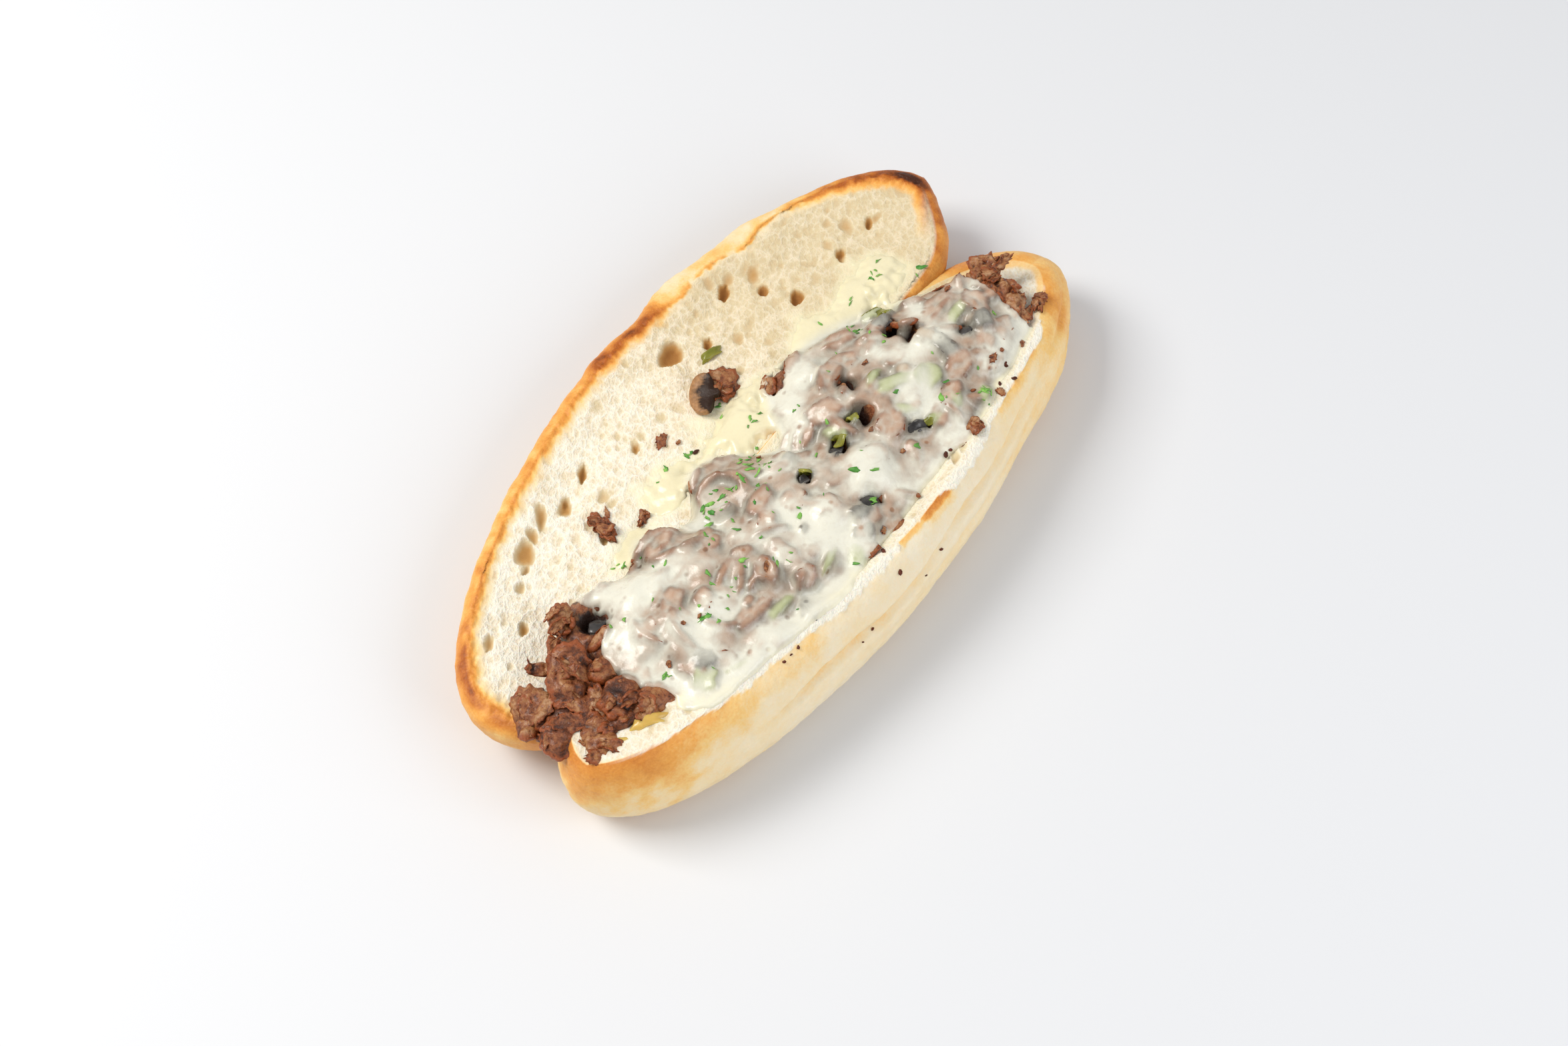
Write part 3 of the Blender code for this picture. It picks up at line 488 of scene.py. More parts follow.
class Dress(Enum):
    """Every finish on the sub, and the record's slot that it belongs to."""

    # Soft wheat crumb lets light in, so its edges glow cream, and the baked skin has a low satin shine.
    BREAD = (BakedBread("baked_white_bread", 0.46, 0.3, 2.2, 0.35, spread=(1.0, 0.78, 0.6)), "roll_crust")
    # Fat and juice leave small wet lights on dull, fibrous meat.
    STEAK = (CookedSteak("griddled_shaved_steak", 0.40, 0.06, 0.8, 0.5, 0.16), "steak")
    # Melted cheese is milky and glossy, with soft highlights along every lump.
    CHEESE = (
        MeltedCheese("melted_white_cheese", 0.26, 0.25, 0.9, 0.5, 0.2, spread=(1.0, 0.95, 0.85)), "cheese",
    )
    # A fried slice is tan and nearly matt, with dark gills.
    MUSHROOM = (
        Vegetable("cooked_mushroom", 0.5, 0.1, 0.8, 0.3, 0.05, light="#b48559", dark="#2e1a0c", drift_mm=1.2),
        "mushroom",
    )
    # Wet gills are grey to black and catch a sharp light.
    GREY_MUSHROOM = (
        Vegetable("mushroom_gills", 0.30, 0.1, 0.6, 0.6, 0.3, light="#5f5a56", dark="#171312", drift_mm=3.0),
        "mushroom",
    )
    # Cooked pepper is olive and shiny, darker where its skin folds.
    PEPPER = (
        Vegetable("softened_green_pepper", 0.25, 0.2, 1.0, 0.5, 0.2, light="#a5a03c", dark="#626519"),
        "green_pepper",
    )
    # Onion goes glassy and golden, and light passes far into it.
    ONION = (
        Vegetable("softened_onion", 0.25, 0.4, 1.5, 0.5, 0.2, light="#e8c66a", dark="#c7a04c"),
        "green_pepper",
    )
    # Chopped leaves are dull, fresh green flecks.
    PARSLEY = (
        Vegetable("chopped_parsley", 0.5, 0.1, 0.4, 0.4, 0.0, light="#8cc45a", dark="#3d8434", drift_mm=2.0),
        "green_pepper",
    )
    # Crisped crumbs are near black and dry.
    CHAR = (
        Vegetable("browned_crumb", 0.6, 0.0, 0.4, 0.4, 0.0, light="#6b3018", dark="#2b130b", drift_mm=2.0),
        "steak",
    )


# Placing


class Ground:
    """What already lies there, looked at from straight above, in millimetres."""

    def __init__(self, layers: Sequence[tuple[str, Shape]]) -> None:
        """Take a name and a bmesh for each layer."""
        self.trees = [(name, BVHTree.FromBMesh(bm)) for name, bm in layers]

    def hit(self, x: float, y: float) -> tuple[float, str, int]:
        """Find the highest surface over a place.

        Args:
            x, y: Place in millimetres.

        Returns:
            The height, the layer's name and the face's number, or (0, "", -1) over nothing.
        """
        best = (0.0, "", -1)
        for name, tree in self.trees:
            place, _, face, _ = tree.ray_cast(Vector((x, y, SKY)), Vector((0, 0, -1)))
            if place is not None and place.z > best[0]:
                best = (place.z, name, face)
        return best

    def height(self, x: float, y: float) -> float:
        """Give the highest point over a place."""
        return self.hit(x, y)[0]

    def lean(self, x: float, y: float, reach: float = 2.0) -> Matrix:
        """Give the turn from straight up to the slope of the ground near a place.

        Args:
            x, y: Place in millimetres.
            reach: How far to each side, in millimetres.

        Returns:
            The turn.
        """
        dx = self.height(x + reach, y) - self.height(x - reach, y)
        dy = self.height(x, y + reach) - self.height(x, y - reach)
        normal = Vector((-dx, -dy, 2 * reach)).normalized()
        return Vector((0, 0, 1)).rotation_difference(normal).to_matrix().to_4x4()

    def laid(self, x: float, y: float, z: float, reach: float, *turns: float) -> Matrix:
        """Give the place of a turned piece that follows the slope of the ground within reach of it."""
        return Matrix.Translation((x, y, z)) @ self.lean(x, y, reach) @ place(0, 0, 0, *turns)


def float_layer(bm: Shape, name: str) -> bmesh.types.BMLayerItem:
    """Give the bmesh's layer of one number a point, made if it isn't there."""
    return bm.verts.layers.float.get(name) or bm.verts.layers.float.new(name)


def points(made: Sequence[object]) -> list[bmesh.types.BMVert]:
    """Pick the points out of what an operator made."""
    return [item for item in made if isinstance(item, bmesh.types.BMVert)]


def make_piece(name: str, bm: Shape, dress: Dress, stands_for: Sequence[str] = ()) -> None:
    """Turn a bmesh in millimetres into a dressed piece in metres that rides on the sub.

    Args:
        name: The piece's name.
        bm: Its shape, which is used up.
        dress: Its finish.
        stands_for: The solids that it is shown in place of.
    """
    finish, slot = dress.value
    material = bpy.data.materials.get(finish.name) or finish.make()
    bmesh.ops.scale(bm, vec=(MM, MM, MM), verts=bm.verts)
    mesh = bpy.data.meshes.new(name)
    bm.to_mesh(mesh)
    bm.free()
    mesh.shade_smooth()
    mesh.materials.append(material)
    obj = bpy.data.objects.new(name, mesh)
    bpy.context.scene.collection.objects.link(obj)
    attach(obj, BODY)
    if stands_for:
        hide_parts(*stands_for)
    log.info("%s: %d faces", name, len(mesh.polygons))


# Bread


@dataclass(frozen=True)
class Bubble:
    """An open bubble in the crumb, in millimetres, its length turned by so many degrees from +X."""

    x: float
    y: float
    length: float
    width: float
    depth: float
    turn: float


@dataclass
class Half:
    """One half of the roll: an oval of crumb on top, crust round it and a flat underneath.

    A place on it is given by p and q, which run over a round disc of radius 1: p along the roll
    and q across it. The disc is then drawn out to the half's own lopsided oval.
    """

    centre_x: float
    half_length: float
    upper: float  # widest distance from the axis on the +Y side
    lower: float
    columns: int
    rows: int
    rings: int
    tuck: float  # how far the crust turns in under the half before it lies flat
    bubbles: tuple[Bubble, ...] = ()
    small_bubbles: int = 0
    bubble_margin: float = 6.0
    seed: int = 1
    wander_mm: float = 40.0  # how far the crust's dents reach round it

    def axis(self, x: float) -> float:
        """Give the axis's place across the roll."""
        raise NotImplementedError

    def side(self, x: float, s: float, up: bool, right: bool) -> float:
        """Give the distance from the axis to the outline, where s is |p|."""
        raise NotImplementedError

    def edge_inset(self, p: float, q: float, x: float) -> float:
        """Give how far the cut edge lies inside the widest part of the crust."""
        raise NotImplementedError

    def edge_height(self, p: float, q: float) -> float:
        """Give the height of the cut edge."""
        raise NotImplementedError

    def top(self, p: float, q: float, rho: float, x: float, y: float) -> float:
        """Give the height of the crumb."""
        raise NotImplementedError

    def crust(self, p: float, q: float, t: float, x: float) -> tuple[float, float]:
        """Give inset and height down the crust, from the cut edge at t = 0 to the flat at t = 1."""
        raise NotImplementedError

    def browning(self, p: float, q: float, t: float, x: float, y: float, z: float) -> float:
        """Give how brown the crust is, from 0 to 1."""
        raise NotImplementedError

    def torn(self, p: float, q: float, t: float, x: float) -> float:
        """Give how far the crust is torn off at a place, from 0 to 1."""
        return 0.0

    def edge_browning(self, p: float, q: float, gap: float, x: float, y: float) -> tuple[float, float]:
        """Give how much of the crumb is crusted and how brown it is, gap millimetres inside the cut edge."""
        raise NotImplementedError

    def plan(self, p: float, q: float, inset: float) -> Point:
        """Draw a place on the disc out to the oval, drawn in by inset.

        Args:
            p, q: Place on the disc.
            inset: How far inside the outline, in millimetres.

        Returns:
            The place, in millimetres.
        """
        x = self.centre_x + (self.half_length - inset) * p
        across = q / sqrt(max(1 - p * p, 1e-9))
        widest = self.upper if q >= 0 else self.lower
        side = self.side(x, abs(p), q >= 0, p >= 0) * (1 - inset / widest)
        return x, self.axis(x) + across * side

    def disc(self) -> Shape:
        """Build the flat pattern: the disc at z = 0, rings of crust below it down to z = -1, then a lid.

        Returns:
            The pattern, whose points say p, q and minus the way down the crust.
        """
        bm = bmesh.new()
        bmesh.ops.create_grid(bm, x_segments=self.columns, y_segments=self.rows, size=1)
        for vert in bm.verts:
            a, b = vert.co.x, vert.co.y
            vert.co = (a * sqrt(1 - b * b / 2), b * sqrt(1 - a * a / 2), 0)
        edges = [edge for edge in bm.edges if edge.is_boundary]
        for ring in range(1, self.rings + 1):
            made = bmesh.ops.extrude_edge_only(bm, edges=edges)["geom"]
            for vert in points(made):
                vert.co.z = -ring / self.rings
            edges = [item for item in made if isinstance(item, bmesh.types.BMEdge) and item.is_boundary]
        bmesh.ops.contextual_create(bm, geom=edges)
        bmesh.ops.recalc_face_normals(bm, faces=bm.faces)
        return bm

    def bubble_list(self) -> list[Bubble]:
        """Give the named bubbles and the many small ones, drawn by a seeded rule.

        Returns:
            The bubbles.
        """
        draw = random.Random(self.seed)
        found = list(self.bubbles)
        for _ in range(self.small_bubbles):
            angle, reach = draw.uniform(0, 2 * pi), sqrt(draw.random())
            x, y = self.plan(reach * cos(angle), reach * sin(angle), self.bubble_margin)
            length = 2.0 + 2.6 * draw.random() ** 2
            depth = length * draw.uniform(0.03, 0.12)
            if draw.random() < 0.05 * self.openness(x, y) + 0.01:
                length += draw.uniform(0.5, 2.4)
                depth = length * draw.uniform(0.12, 0.24)
            width = length * draw.uniform(0.55, 0.95)
            found.append(Bubble(x, y, length, width, depth, GRAIN_TURN + draw.gauss(0, 22)))
        return found

    def dig(self, x: np.ndarray, y: np.ndarray) -> np.ndarray:
        """Work out how deep the bubbles go.

        Args:
            x: Places along the roll.
            y: Places across it.

        Returns:
            Depth in millimetres at each place.
        """
        order = np.argsort(x)
        along, across = x[order], y[order]
        depth = np.zeros(len(x))
        draw = random.Random(self.seed + 5)
        for bubble in self.bubble_list():
            reach = bubble.length * 0.65
            first, last = np.searchsorted(along, (bubble.x - reach, bubble.x + reach))
            dx, dy = along[first:last] - bubble.x, across[first:last] - bubble.y
            turn = radians(bubble.turn)
            u = (dx * cos(turn) + dy * sin(turn)) * 2 / bubble.length
            v = (dy * cos(turn) - dx * sin(turn)) * 2 / bubble.width
            round_it = np.arctan2(v, u)
            phase, lobes = draw.uniform(0, 6.3), draw.choice((2, 3, 3, 4, 5))
            edge = 1 + 0.10 * np.sin(lobes * round_it + phase) + 0.03 * np.sin(7 * round_it - phase)
            share = np.clip(1 - (u * u + v * v) / edge**2, 0, 1)
            dug = bubble.depth * share**0.6
            here = depth[first:last]
            depth[first:last] = np.maximum(here, dug) + 0.25 * np.minimum(here, dug)
        result = np.zeros(len(x))
        result[order] = depth
        return result

    def shape(self) -> Shape:
        """Build the half.

        Returns:
            A closed bmesh with its layers for crust, browning and bubbles.
        """
        bm = self.disc()
        bake, toast, pit, soak = (float_layer(bm, name) for name in ("bake", "toast", "pit", "soak"))
        crumb = []
        for vert in bm.verts:
            p, q, down = vert.co.x, vert.co.y, -vert.co.z
            rho = hypot(p, q)
            if down > 0:
                p, q = p / rho, q / rho
                x, _ = self.plan(p, q, ABOUT_INSET)
                inset, z = self.crust(p, q, down, x)
                flap = self.torn(p, q, down, x)
                fade, here = sin(pi * down), (x, q * self.wander_mm, z)
                lift = 0.5 * rough(*here, 16, 5.5) * fade
                lift += (0.30 * rough(*here, 5, 2.5) + 0.22 * rough(*here, 2.0, 7.5)) * min(fade * 3, 1)
                lift += flap * (0.5 + 1.2 * rough(*here, 3.0, 4.4))
                x, y = self.plan(p, q, inset - lift)
                vert.co = (x, y, max(z, 0.0))
                vert[bake] = 1 - flap
                vert[pit] = -0.12 * flap
                vert[toast] = self.browning(p, q, down, x, y, z)
                continue
            x, _ = self.plan(p, q, ABOUT_INSET)
            x, y = self.plan(p, q, self.edge_inset(p, q, x))
            z = self.top(p, q, rho, x, y)
            long_side = self.upper if q >= 0 else self.lower
            if rho > 1e-6:
                way = rho * self.half_length * long_side / hypot(long_side * p, self.half_length * q)
            else:
                way = long_side
            gap = (1 - rho) * way
            vert.co = (x, y, z)
            vert[bake], vert[toast] = self.edge_browning(p, q, gap, x, y)
            crumb.append((vert, x, y, gap))
        along = np.array([item[1] for item in crumb])
        across = np.array([item[2] for item in crumb])
        depth = self.dig(along, across)
        turn = radians(GRAIN_TURN)
        for (vert, x, y, gap), dug in zip(crumb, depth):
            inside = smooth(0.6, 3.5, gap)
            u = x * cos(turn) + y * sin(turn)
            v = y * cos(turn) - x * sin(turn)
            fluff = 0.5 * rough(u * 0.6, v, 0, 8, 2.1) + 0.18 * rough(u * 0.55, v, 0, 3.4, 6.6)
            fluff *= 1 - 0.7 * min(dug / 1.6, 1.0)
            wet = self.wetness(x, y)
            share = self.openness(x, y)
            dug *= share * inside * (1 - 0.95 * wet)
            vert.co.z += fluff * smooth(0.0, 1.5, gap) * share * (1 - 0.95 * wet) - dug
            # The pit darkens the crumb: in the bubbles partly their own tan and partly painted shade, with
            # painted shade towards the far end and painted light at the low end.
            vert[pit] = min(dug / 3.2 + self.tan_and_painted_light(x, y), 1.0)
            vert[soak] = wet
        return bm

    def openness(self, x: float, y: float) -> float:
        """Give how open the crumb is: 1 where it tore through bubbles, less where it is pressed flat."""
        raise NotImplementedError

    def wetness(self, x: float, y: float) -> float:
        """Give how far cheese soaked into the crumb."""
        raise NotImplementedError

    def tan_and_painted_light(self, x: float, y: float) -> float:
        """Give how much darker than fresh crumb the crumb is painted: its own tan, with painted light and
        shade.
        """
        return 0.0


@dataclass
class Leaf(Half):
    """The opened half, lying on its domed crust with its torn crumb up."""

    rim: float = 29.5
    hinge: float = 33.0

    def axis(self, x: float) -> float:
        """Give the leaf's axis, which is straight."""
        return 18.0

    def side(self, x: float, s: float, up: bool, right: bool) -> float:
        """Give the distance from the axis to the outline, with the lobes of the torn side.

        Args:
            x: Place in millimetres.
            s: How far along the half the place is, from 0 in the middle to 1.
            up: Whether it is on the +Y side.
            right: Whether it is in the +X half.

        Returns:
            The distance in millimetres.
        """
        if up:
            end = sqrt(max(1 - s ** (1.8 if right else 1.65), 0))
            lobes = 3.2 * bump(x, 45, 12) + 3.4 * bump(x, 80, 13) - 1.6 * bump(x, 24, 9)
            return (self.upper + lobes) * end + 0.7 * rough(x, 0, 0, 9, 1.3) * end
        if right:
            return soft_min(72 * max(1 - s * s, 0) ** 0.85, self.lower, 9)
        return soft_min(46 * sqrt(max(1 - s**4.0, 0)), self.lower, 9)

    def edge_inset(self, p: float, q: float, x: float) -> float:
        """Give the inset of the cut edge, which is wider at the lobes."""
        q = q / max(hypot(p, q), 1e-6)
        return 5.4 + max(q, 0) * (6.0 * bump(x, 44, 12) + 7.0 * bump(x, 76, 13))

    def edge_height(self, p: float, q: float) -> float:
        """Give the height of the cut edge, from the rim down or up to the fold.

        Args:
            p, q: Place on the disc.

        Returns:
            The height in millimetres.
        """
        rho = max(hypot(p, q), 1e-6)
        fold, right = max(-q / rho, 0), max(p / rho, 0)
        return self.rim + (self.hinge - self.rim) * fold + 3.0 * right**3

    def top(self, p: float, q: float, rho: float, x: float, y: float) -> float:
        """Give the height of the torn crumb: a shallow dish with a ragged crest.

        Args:
            p, q: Place on the disc.
            rho: How far out on the disc, from 0 to 1.
            x, y: Place in millimetres.

        Returns:
            The height in millimetres.
        """
        outer = 0.5 + 0.5 * q / max(rho, 1e-6)
        dish = (2.3 + 1.3 * outer) * smooth(0.0, 1.0, (1 - rho) * 3.4)
        waves = layered(x, y, 0, (1, 30, 2.2), (0.55, 11, 4.7), (0.35, 5, 3.9))
        crags = 1.5 * abs(rough(x, y, 0, 3.6, 7.3)) + 0.8 * rough(x, y, 0, 1.7, 4.2)
        crest = 1 - smooth(0.0, 0.055, 1 - rho)
        return self.edge_height(p, q) - dish + waves * smooth(0, 0.15, 1 - rho) + crags * crest

    def crust(self, p: float, q: float, t: float, x: float) -> tuple[float, float]:
        """Give inset and height down the leaf's domed crust.

        Args:
            p, q: Place on the disc.
            t: How far down the crust, from 0 to 1.
            x: Place in millimetres.

        Returns:
            The inset and the height in millimetres.
        """
        edge, rim = self.edge_inset(p, q, x), self.edge_height(p, q)
        widest = rim - 5.5
        if t < 0.3:
            turn = pi / 2 * (1 - t / 0.3)
            return edge * (1 - cos(turn)), widest + 5.5 * sin(turn)
        turn = pi / 2 * (t - 0.3) / 0.7
        return self.tuck * (1 - cos(turn)), widest * (1 - sin(turn))

    def browning(self, p: float, q: float, t: float, x: float, y: float, z: float) -> float:
        """Give how brown the leaf's crust is, darkest along the rim and at both ends.

        Args:
            p, q: Place on the disc.
            t: How far down the crust, from 0 to 1.
            x, y, z: Place in millimetres.

        Returns:
            How brown the crust is, from 0 to 1.
        """
        level = 0.47 + layered(x, y, z, (0.13, 24, 3.1), (0.11, 7, 1.9))
        crest = 1 - smooth(0.0, 0.28, t)
        level += crest * (0.05 + 0.20 * rough(x, y, z, 4, 8.8) + 0.28 * between(x, -6, 32, 6))
        level += 0.16 * smooth(-95, -137, x) * crest + 0.22 * smooth(100, 131, x) * (1 - smooth(0.2, 0.5, t))
        level += self.burnt(x, y) * (1 - smooth(0.0, 0.14, t))
        pale = between(x, 36, 100, 9) * max(q, 0)
        level -= pale * (0.26 * (1 - smooth(0.1, 0.5, t)) + 0.04)
        level += 0.20 * pale * bump(t, 0.32, 0.06)
        return level

    def edge_browning(self, p: float, q: float, gap: float, x: float, y: float) -> tuple[float, float]:
        """Give the toasted band along the leaf's rim.

        Args:
            p, q: Place on the disc.
            gap: How far inside the cut edge, in millimetres.
            x, y: Place in millimetres.

        Returns:
            How far the crumb is crusted and how brown it is, each from 0 to 1.
        """
        rho = max(hypot(p, q), 1e-6)
        out = smooth(-0.55, -0.15, q / rho)
        ragged = layered(x, y, 0, (1.8, 6, 5.2), (1.3, 2.2, 3.4), (0.7, 1.2, 8.4))
        pale = between(x, 36, 100, 8) * max(q, 0)
        width = 4.4 + 1.2 * smooth(-90, -130, x) + 2.4 * smooth(98, 126, x) - 2.8 * pale
        crusted = (1 - smooth(width - 2.2, width + 2.0, gap + ragged)) * out
        level = 0.26 + 0.40 * (1 - smooth(0, 0.8 * width, gap + 0.7 * ragged)) - 0.12 * pale
        level += 0.22 * smooth(95, 128, x) + 0.18 * between(x, -6, 32, 6)
        level += self.burnt(x, y) * (1 - smooth(1, 4, gap))
        return crusted, level - 0.05

    @staticmethod
    def burnt(x: float, y: float) -> float:
        """Give how much darker the rim is where it caught at the far end."""
        return 0.36 * bump(x, 134, 4.0) * bump(y, 21, 6)

    def openness(self, x: float, y: float) -> float:
        """Give how open the crumb is: less beside the fold, where it is pressed flat."""
        return 0.4 + 0.6 * smooth(12, 28, y + 0.25 * abs(x) * smooth(-60, -110, x))

    def wetness(self, x: float, y: float) -> float:
        """Give how far cheese soaked into the leaf's crumb."""
        return soaked(x, y)

    def tan_and_painted_light(self, x: float, y: float) -> float:
        """Give how much darker the crumb is painted towards the far end, partly its own tan and partly
        painted shade, and how much lighter at the low end, as painted light.
        """
        return 0.20 * smooth(0, 75, x + 0.3 * y) - 0.07 * (1 - smooth(-70, 0, x))


@dataclass
class Base(Half):
    """The filled half, a channel whose outer wall stands up beside the filling."""

    fold: float = 2.0
    height: float = 43.0
    hinge: float = 33.0
    floor: float = 17.0
    # Browned bands under the cut edge: from x, to x, depth, how brown and how soft its ends are.
    scorches: tuple[tuple[float, float, float, float, float], ...] = (
        (-150, -112, 22, 0.29, 9), (-150, -86, 12, 0.12, 8), (-112, -52, 7.0, 0.14, 3),
        (-11, 19, 1.6, 0.34, 1.5), (5, 18, 3.4, 0.20, 1.5), (58, 88, 3.0, 0.16, 3), (86, 118, 9, 0.12, 6),
        (104, 150, 16, 0.20, 8),
    )

    def axis(self, x: float) -> float:
        """Give the base's axis, which leans a little across the roll."""
        return -30.0 - 8.0 * x / self.half_length

    def side(self, x: float, s: float, up: bool, right: bool) -> float:
        """Give the distance from the axis to the outline, held back at the fold.

        Args:
            x: Place in millimetres.
            s: How far along the half the place is, from 0 in the middle to 1.
            up: Whether it is on the +Y side.
            right: Whether it is in the +X half.

        Returns:
            The distance in millimetres.
        """
        if up:
            end = sqrt(max(1 - s ** (3.4 if right else 3.0), 0))
            return soft_min(38 * end, self.fold - self.axis(x), 6)
        end = sqrt(max(1 - s ** (2.0 if right else 2.2), 0))
        dips = 1.8 * bump(x, 60, 20) - 1.0 * bump(x, 102, 12) - 0.8 * bump(x, -20, 22)
        return (self.lower - dips) * end

    def edge_inset(self, p: float, q: float, x: float) -> float:
        """Give how far the cut edge lies inside the crust: more at the wall and the ends.

        Args:
            p, q: Place on the disc.
            x: Place in millimetres.

        Returns:
            The inset in millimetres.
        """
        rho = max(hypot(p, q), 1e-6)
        wall, left, right = max(-q / rho, 0), max(-p / rho, 0), max(p / rho, 0)
        return 2 + 9.5 * wall + 8 * left * wall + 4 * left + 10 * right**2

    def edge_height(self, p: float, q: float) -> float:
        """Give the height of the cut edge: the hinge on one side, the wall on the other.

        Args:
            p, q: Place on the disc.

        Returns:
            The height in millimetres.
        """
        rho = max(hypot(p, q), 1e-6)
        wall, left, right = max(-q / rho, 0), max(-p / rho, 0), max(p / rho, 0)
        return self.hinge + (self.height - self.hinge) * wall**0.7 + 5.5 * left**2 - 3.0 * right**2

    def top(self, p: float, q: float, rho: float, x: float, y: float) -> float:
        """Give the height of the channel's floor and of its sides up to the cut edge.

        Args:
            p, q: Place on the disc.
            rho: How far out on the disc, from 0 to 1.
            x, y: Place in millimetres.

        Returns:
            The height in millimetres.
        """
        rim = self.edge_height(p, q)
        floor = self.floor + 12 * smooth(0.55, 0.97, abs(x - self.centre_x) / self.half_length)
        wall = smooth(0.26, 0.84, rho)
        shoulder = 3.4 * (1 - smooth(0.80, 1.0, rho)) * max(-q / max(rho, 1e-6), 0)
        waves = 0.9 * rough(x, y, 0, 22, 8.1) * smooth(0.0, 0.1, 1 - rho)
        torn = 0.5 * rough(x, y, 0, 5, 3.3) * smooth(0.0, 0.02, 1 - rho)
        return floor + (rim - floor) * wall - shoulder * wall + waves + torn

    def crust(self, p: float, q: float, t: float, x: float) -> tuple[float, float]:
        """Give inset and height down the wall's crust, with its long folds.

        Args:
            p, q: Place on the disc.
            t: How far down the crust, from 0 to 1.
            x: Place in millimetres.

        Returns:
            The inset and the height in millimetres.
        """
        edge, rim = self.edge_inset(p, q, x), self.edge_height(p, q)
        widest, wall, steep = 17.5, max(-q, 0), radians(80)
        if t < 0.55:
            turn = steep * (1 - t / 0.55)
            inset = edge * (1 - cos(turn)) / (1 - cos(steep))
            height = widest + (rim - widest) * sin(turn) / sin(steep)
            crease = max(self.fold_depth(x, height), -0.4)
            return inset + wall * crease, height
        turn = pi / 2 * (t - 0.55) / 0.45
        return self.tuck * (1 - cos(turn)), widest * (1 - sin(turn))

    def browning(self, p: float, q: float, t: float, x: float, y: float, z: float) -> float:
        """Give how brown the wall's crust is: pale skin with scorches under the cut edge, painted shade in
        its folds, and darker lower down towards the far end.

        Args:
            p, q: Place on the disc.
            t: How far down the crust, from 0 to 1.
            x, y, z: Place in millimetres.

        Returns:
            How brown the crust is, from 0 to 1.
        """
        wall = max(-q, 0)
        drop = self.edge_height(p, q) - z
        ragged = layered(x, y, z, (1, 9, 6.4), (0.7, 3.2, 2.8))
        level = 0.08 + layered(x, y, z, (0.06, 30, 4.4), (0.05, 8, 3.6))
        level += 0.12 * smooth(30, 95, x) + 0.06 * smooth(-60, -110, x)
        for first, last, width, strength, blend in self.scorches:
            here = between(x + 3.5 * ragged, first, last, blend)
            low, high = (0.9 - 0.05 * blend) * width, (1.1 + 0.05 * blend) * width
            fall = 1 - smooth(low, high, drop + 0.4 * width * ragged)
            level += strength * here * fall * (1.15 - 0.4 * min(drop / width, 1))
        # Painted shade: the crust is darker where its skin folds in.
        level += 0.045 * wall * max(self.fold_depth(x, z), 0) * (1 - smooth(0.45, 0.6, t))
        level += 0.20 * smooth(0.60, 0.95, t) + 0.08 * smooth(-90, -125, x) * smooth(0.3, 0.6, t)
        # Darker lower down the wall, over the middle and the far end.
        level += 0.09 * smooth(0.25, 0.55, t) * smooth(-60, 10, x)
        return level + 0.2 * (1 - wall) * smooth(0.1, 0.5, t) * smooth(0.2, 0.8, q)

    def fold_depth(self, x: float, height: float) -> float:
        """Give how deep the long folds of the wall's skin go at a height.

        Args:
            x: Place in millimetres.
            height: How high, in millimetres.

        Returns:
            The depth in millimetres, negative where the skin bulges.
        """
        level = 31 + 2 * sin(x / 38.0) + 1.4 * sin(x / 11.0)
        deep = (3.2 * bump(height, level, 1.2) - 0.9 * bump(height, level - 3.2, 1.8)) * smooth(-110, -60, x)
        second = 0.9 * bump(height, level - 9.5, 1.3) - 0.6 * bump(height, level - 13, 1.8)
        deep += second * smooth(-60, 20, x)
        deep *= 0.8 + 1.3 * rough(x, 0, height * 0.3, 26, 4.9)
        return deep + 0.35 * abs(rough(x * 0.5, 0, height, 5.0, 7.1)) * smooth(-60, 30, x)

    def torn(self, p: float, q: float, t: float, x: float) -> float:
        """Give how far the wall's skin is torn off along the cut edge.

        Args:
            p, q: Place on the disc.
            t: How far down the crust, from 0 to 1.
            x: Place in millimetres.

        Returns:
            How far, from 0 to 1.
        """
        reach = 0.07 + layered(x, 0, 0, (0.035, 7, 3.7), (0.02, 2.4, 1.9))
        reach += 0.05 * bump(x, 32, 11) + 0.02 * bump(x, -34, 16) - 0.06 * smooth(96, 112, x)
        reach -= 0.065 * between(x, -11, 19, 2) + 0.02 * smooth(-80, -110, x)
        return (1 - smooth(reach - 0.012, reach + 0.012, t)) * smooth(0.1, 0.5, -q)

    def edge_browning(self, p: float, q: float, gap: float, x: float, y: float) -> tuple[float, float]:
        """Give the thin band of crust over the wall's edge.

        Args:
            p, q: Place on the disc.
            gap: How far inside the cut edge, in millimetres.
            x, y: Place in millimetres.

        Returns:
            How far the crumb is crusted and how brown it is, each from 0 to 1.
        """
        ragged = layered(x, y, 0, (0.9, 5, 5.2), (0.5, 1.8, 3.4))
        end = smooth(80, 118, x)
        crusted = 1 - smooth(0.2 + 1.6 * end, 1.6 + 2.4 * end, gap + ragged)
        crusted *= max(end, 1 - smooth(0.0, 0.3, -q))
        return crusted * 0.85, 0.12 + 0.22 * end + 0.10 * smooth(-60, -110, x)

    def channel_side(self, x: float) -> float:
        """Give where the filling meets the inside of the wall.

        Args:
            x: Place in millimetres.

        Returns:
            The place across the roll, in millimetres.
        """
        s = min(abs(x - self.centre_x) / self.half_length, 1.0)
        reach = 30.5 - 3.5 * smooth(45, 85, x) - 3.0 * bump(x, 20, 15)
        return self.axis(x) - reach * sqrt(1 - s**2.2)

    def openness(self, x: float, y: float) -> float:
        """Give how open the channel's crumb is."""
        return 0.8

    def wetness(self, x: float, y: float) -> float:
        """Give how far cheese soaked into the crumb along the wall."""
        out = self.channel_side(x) - y + 1.6 * rough(x, y, 0, 7, 5.5)
        return 0.3 * (1 - smooth(0.0, 2.0, out)) * smooth(-104, -96, x) * (1 - smooth(90, 98, x))


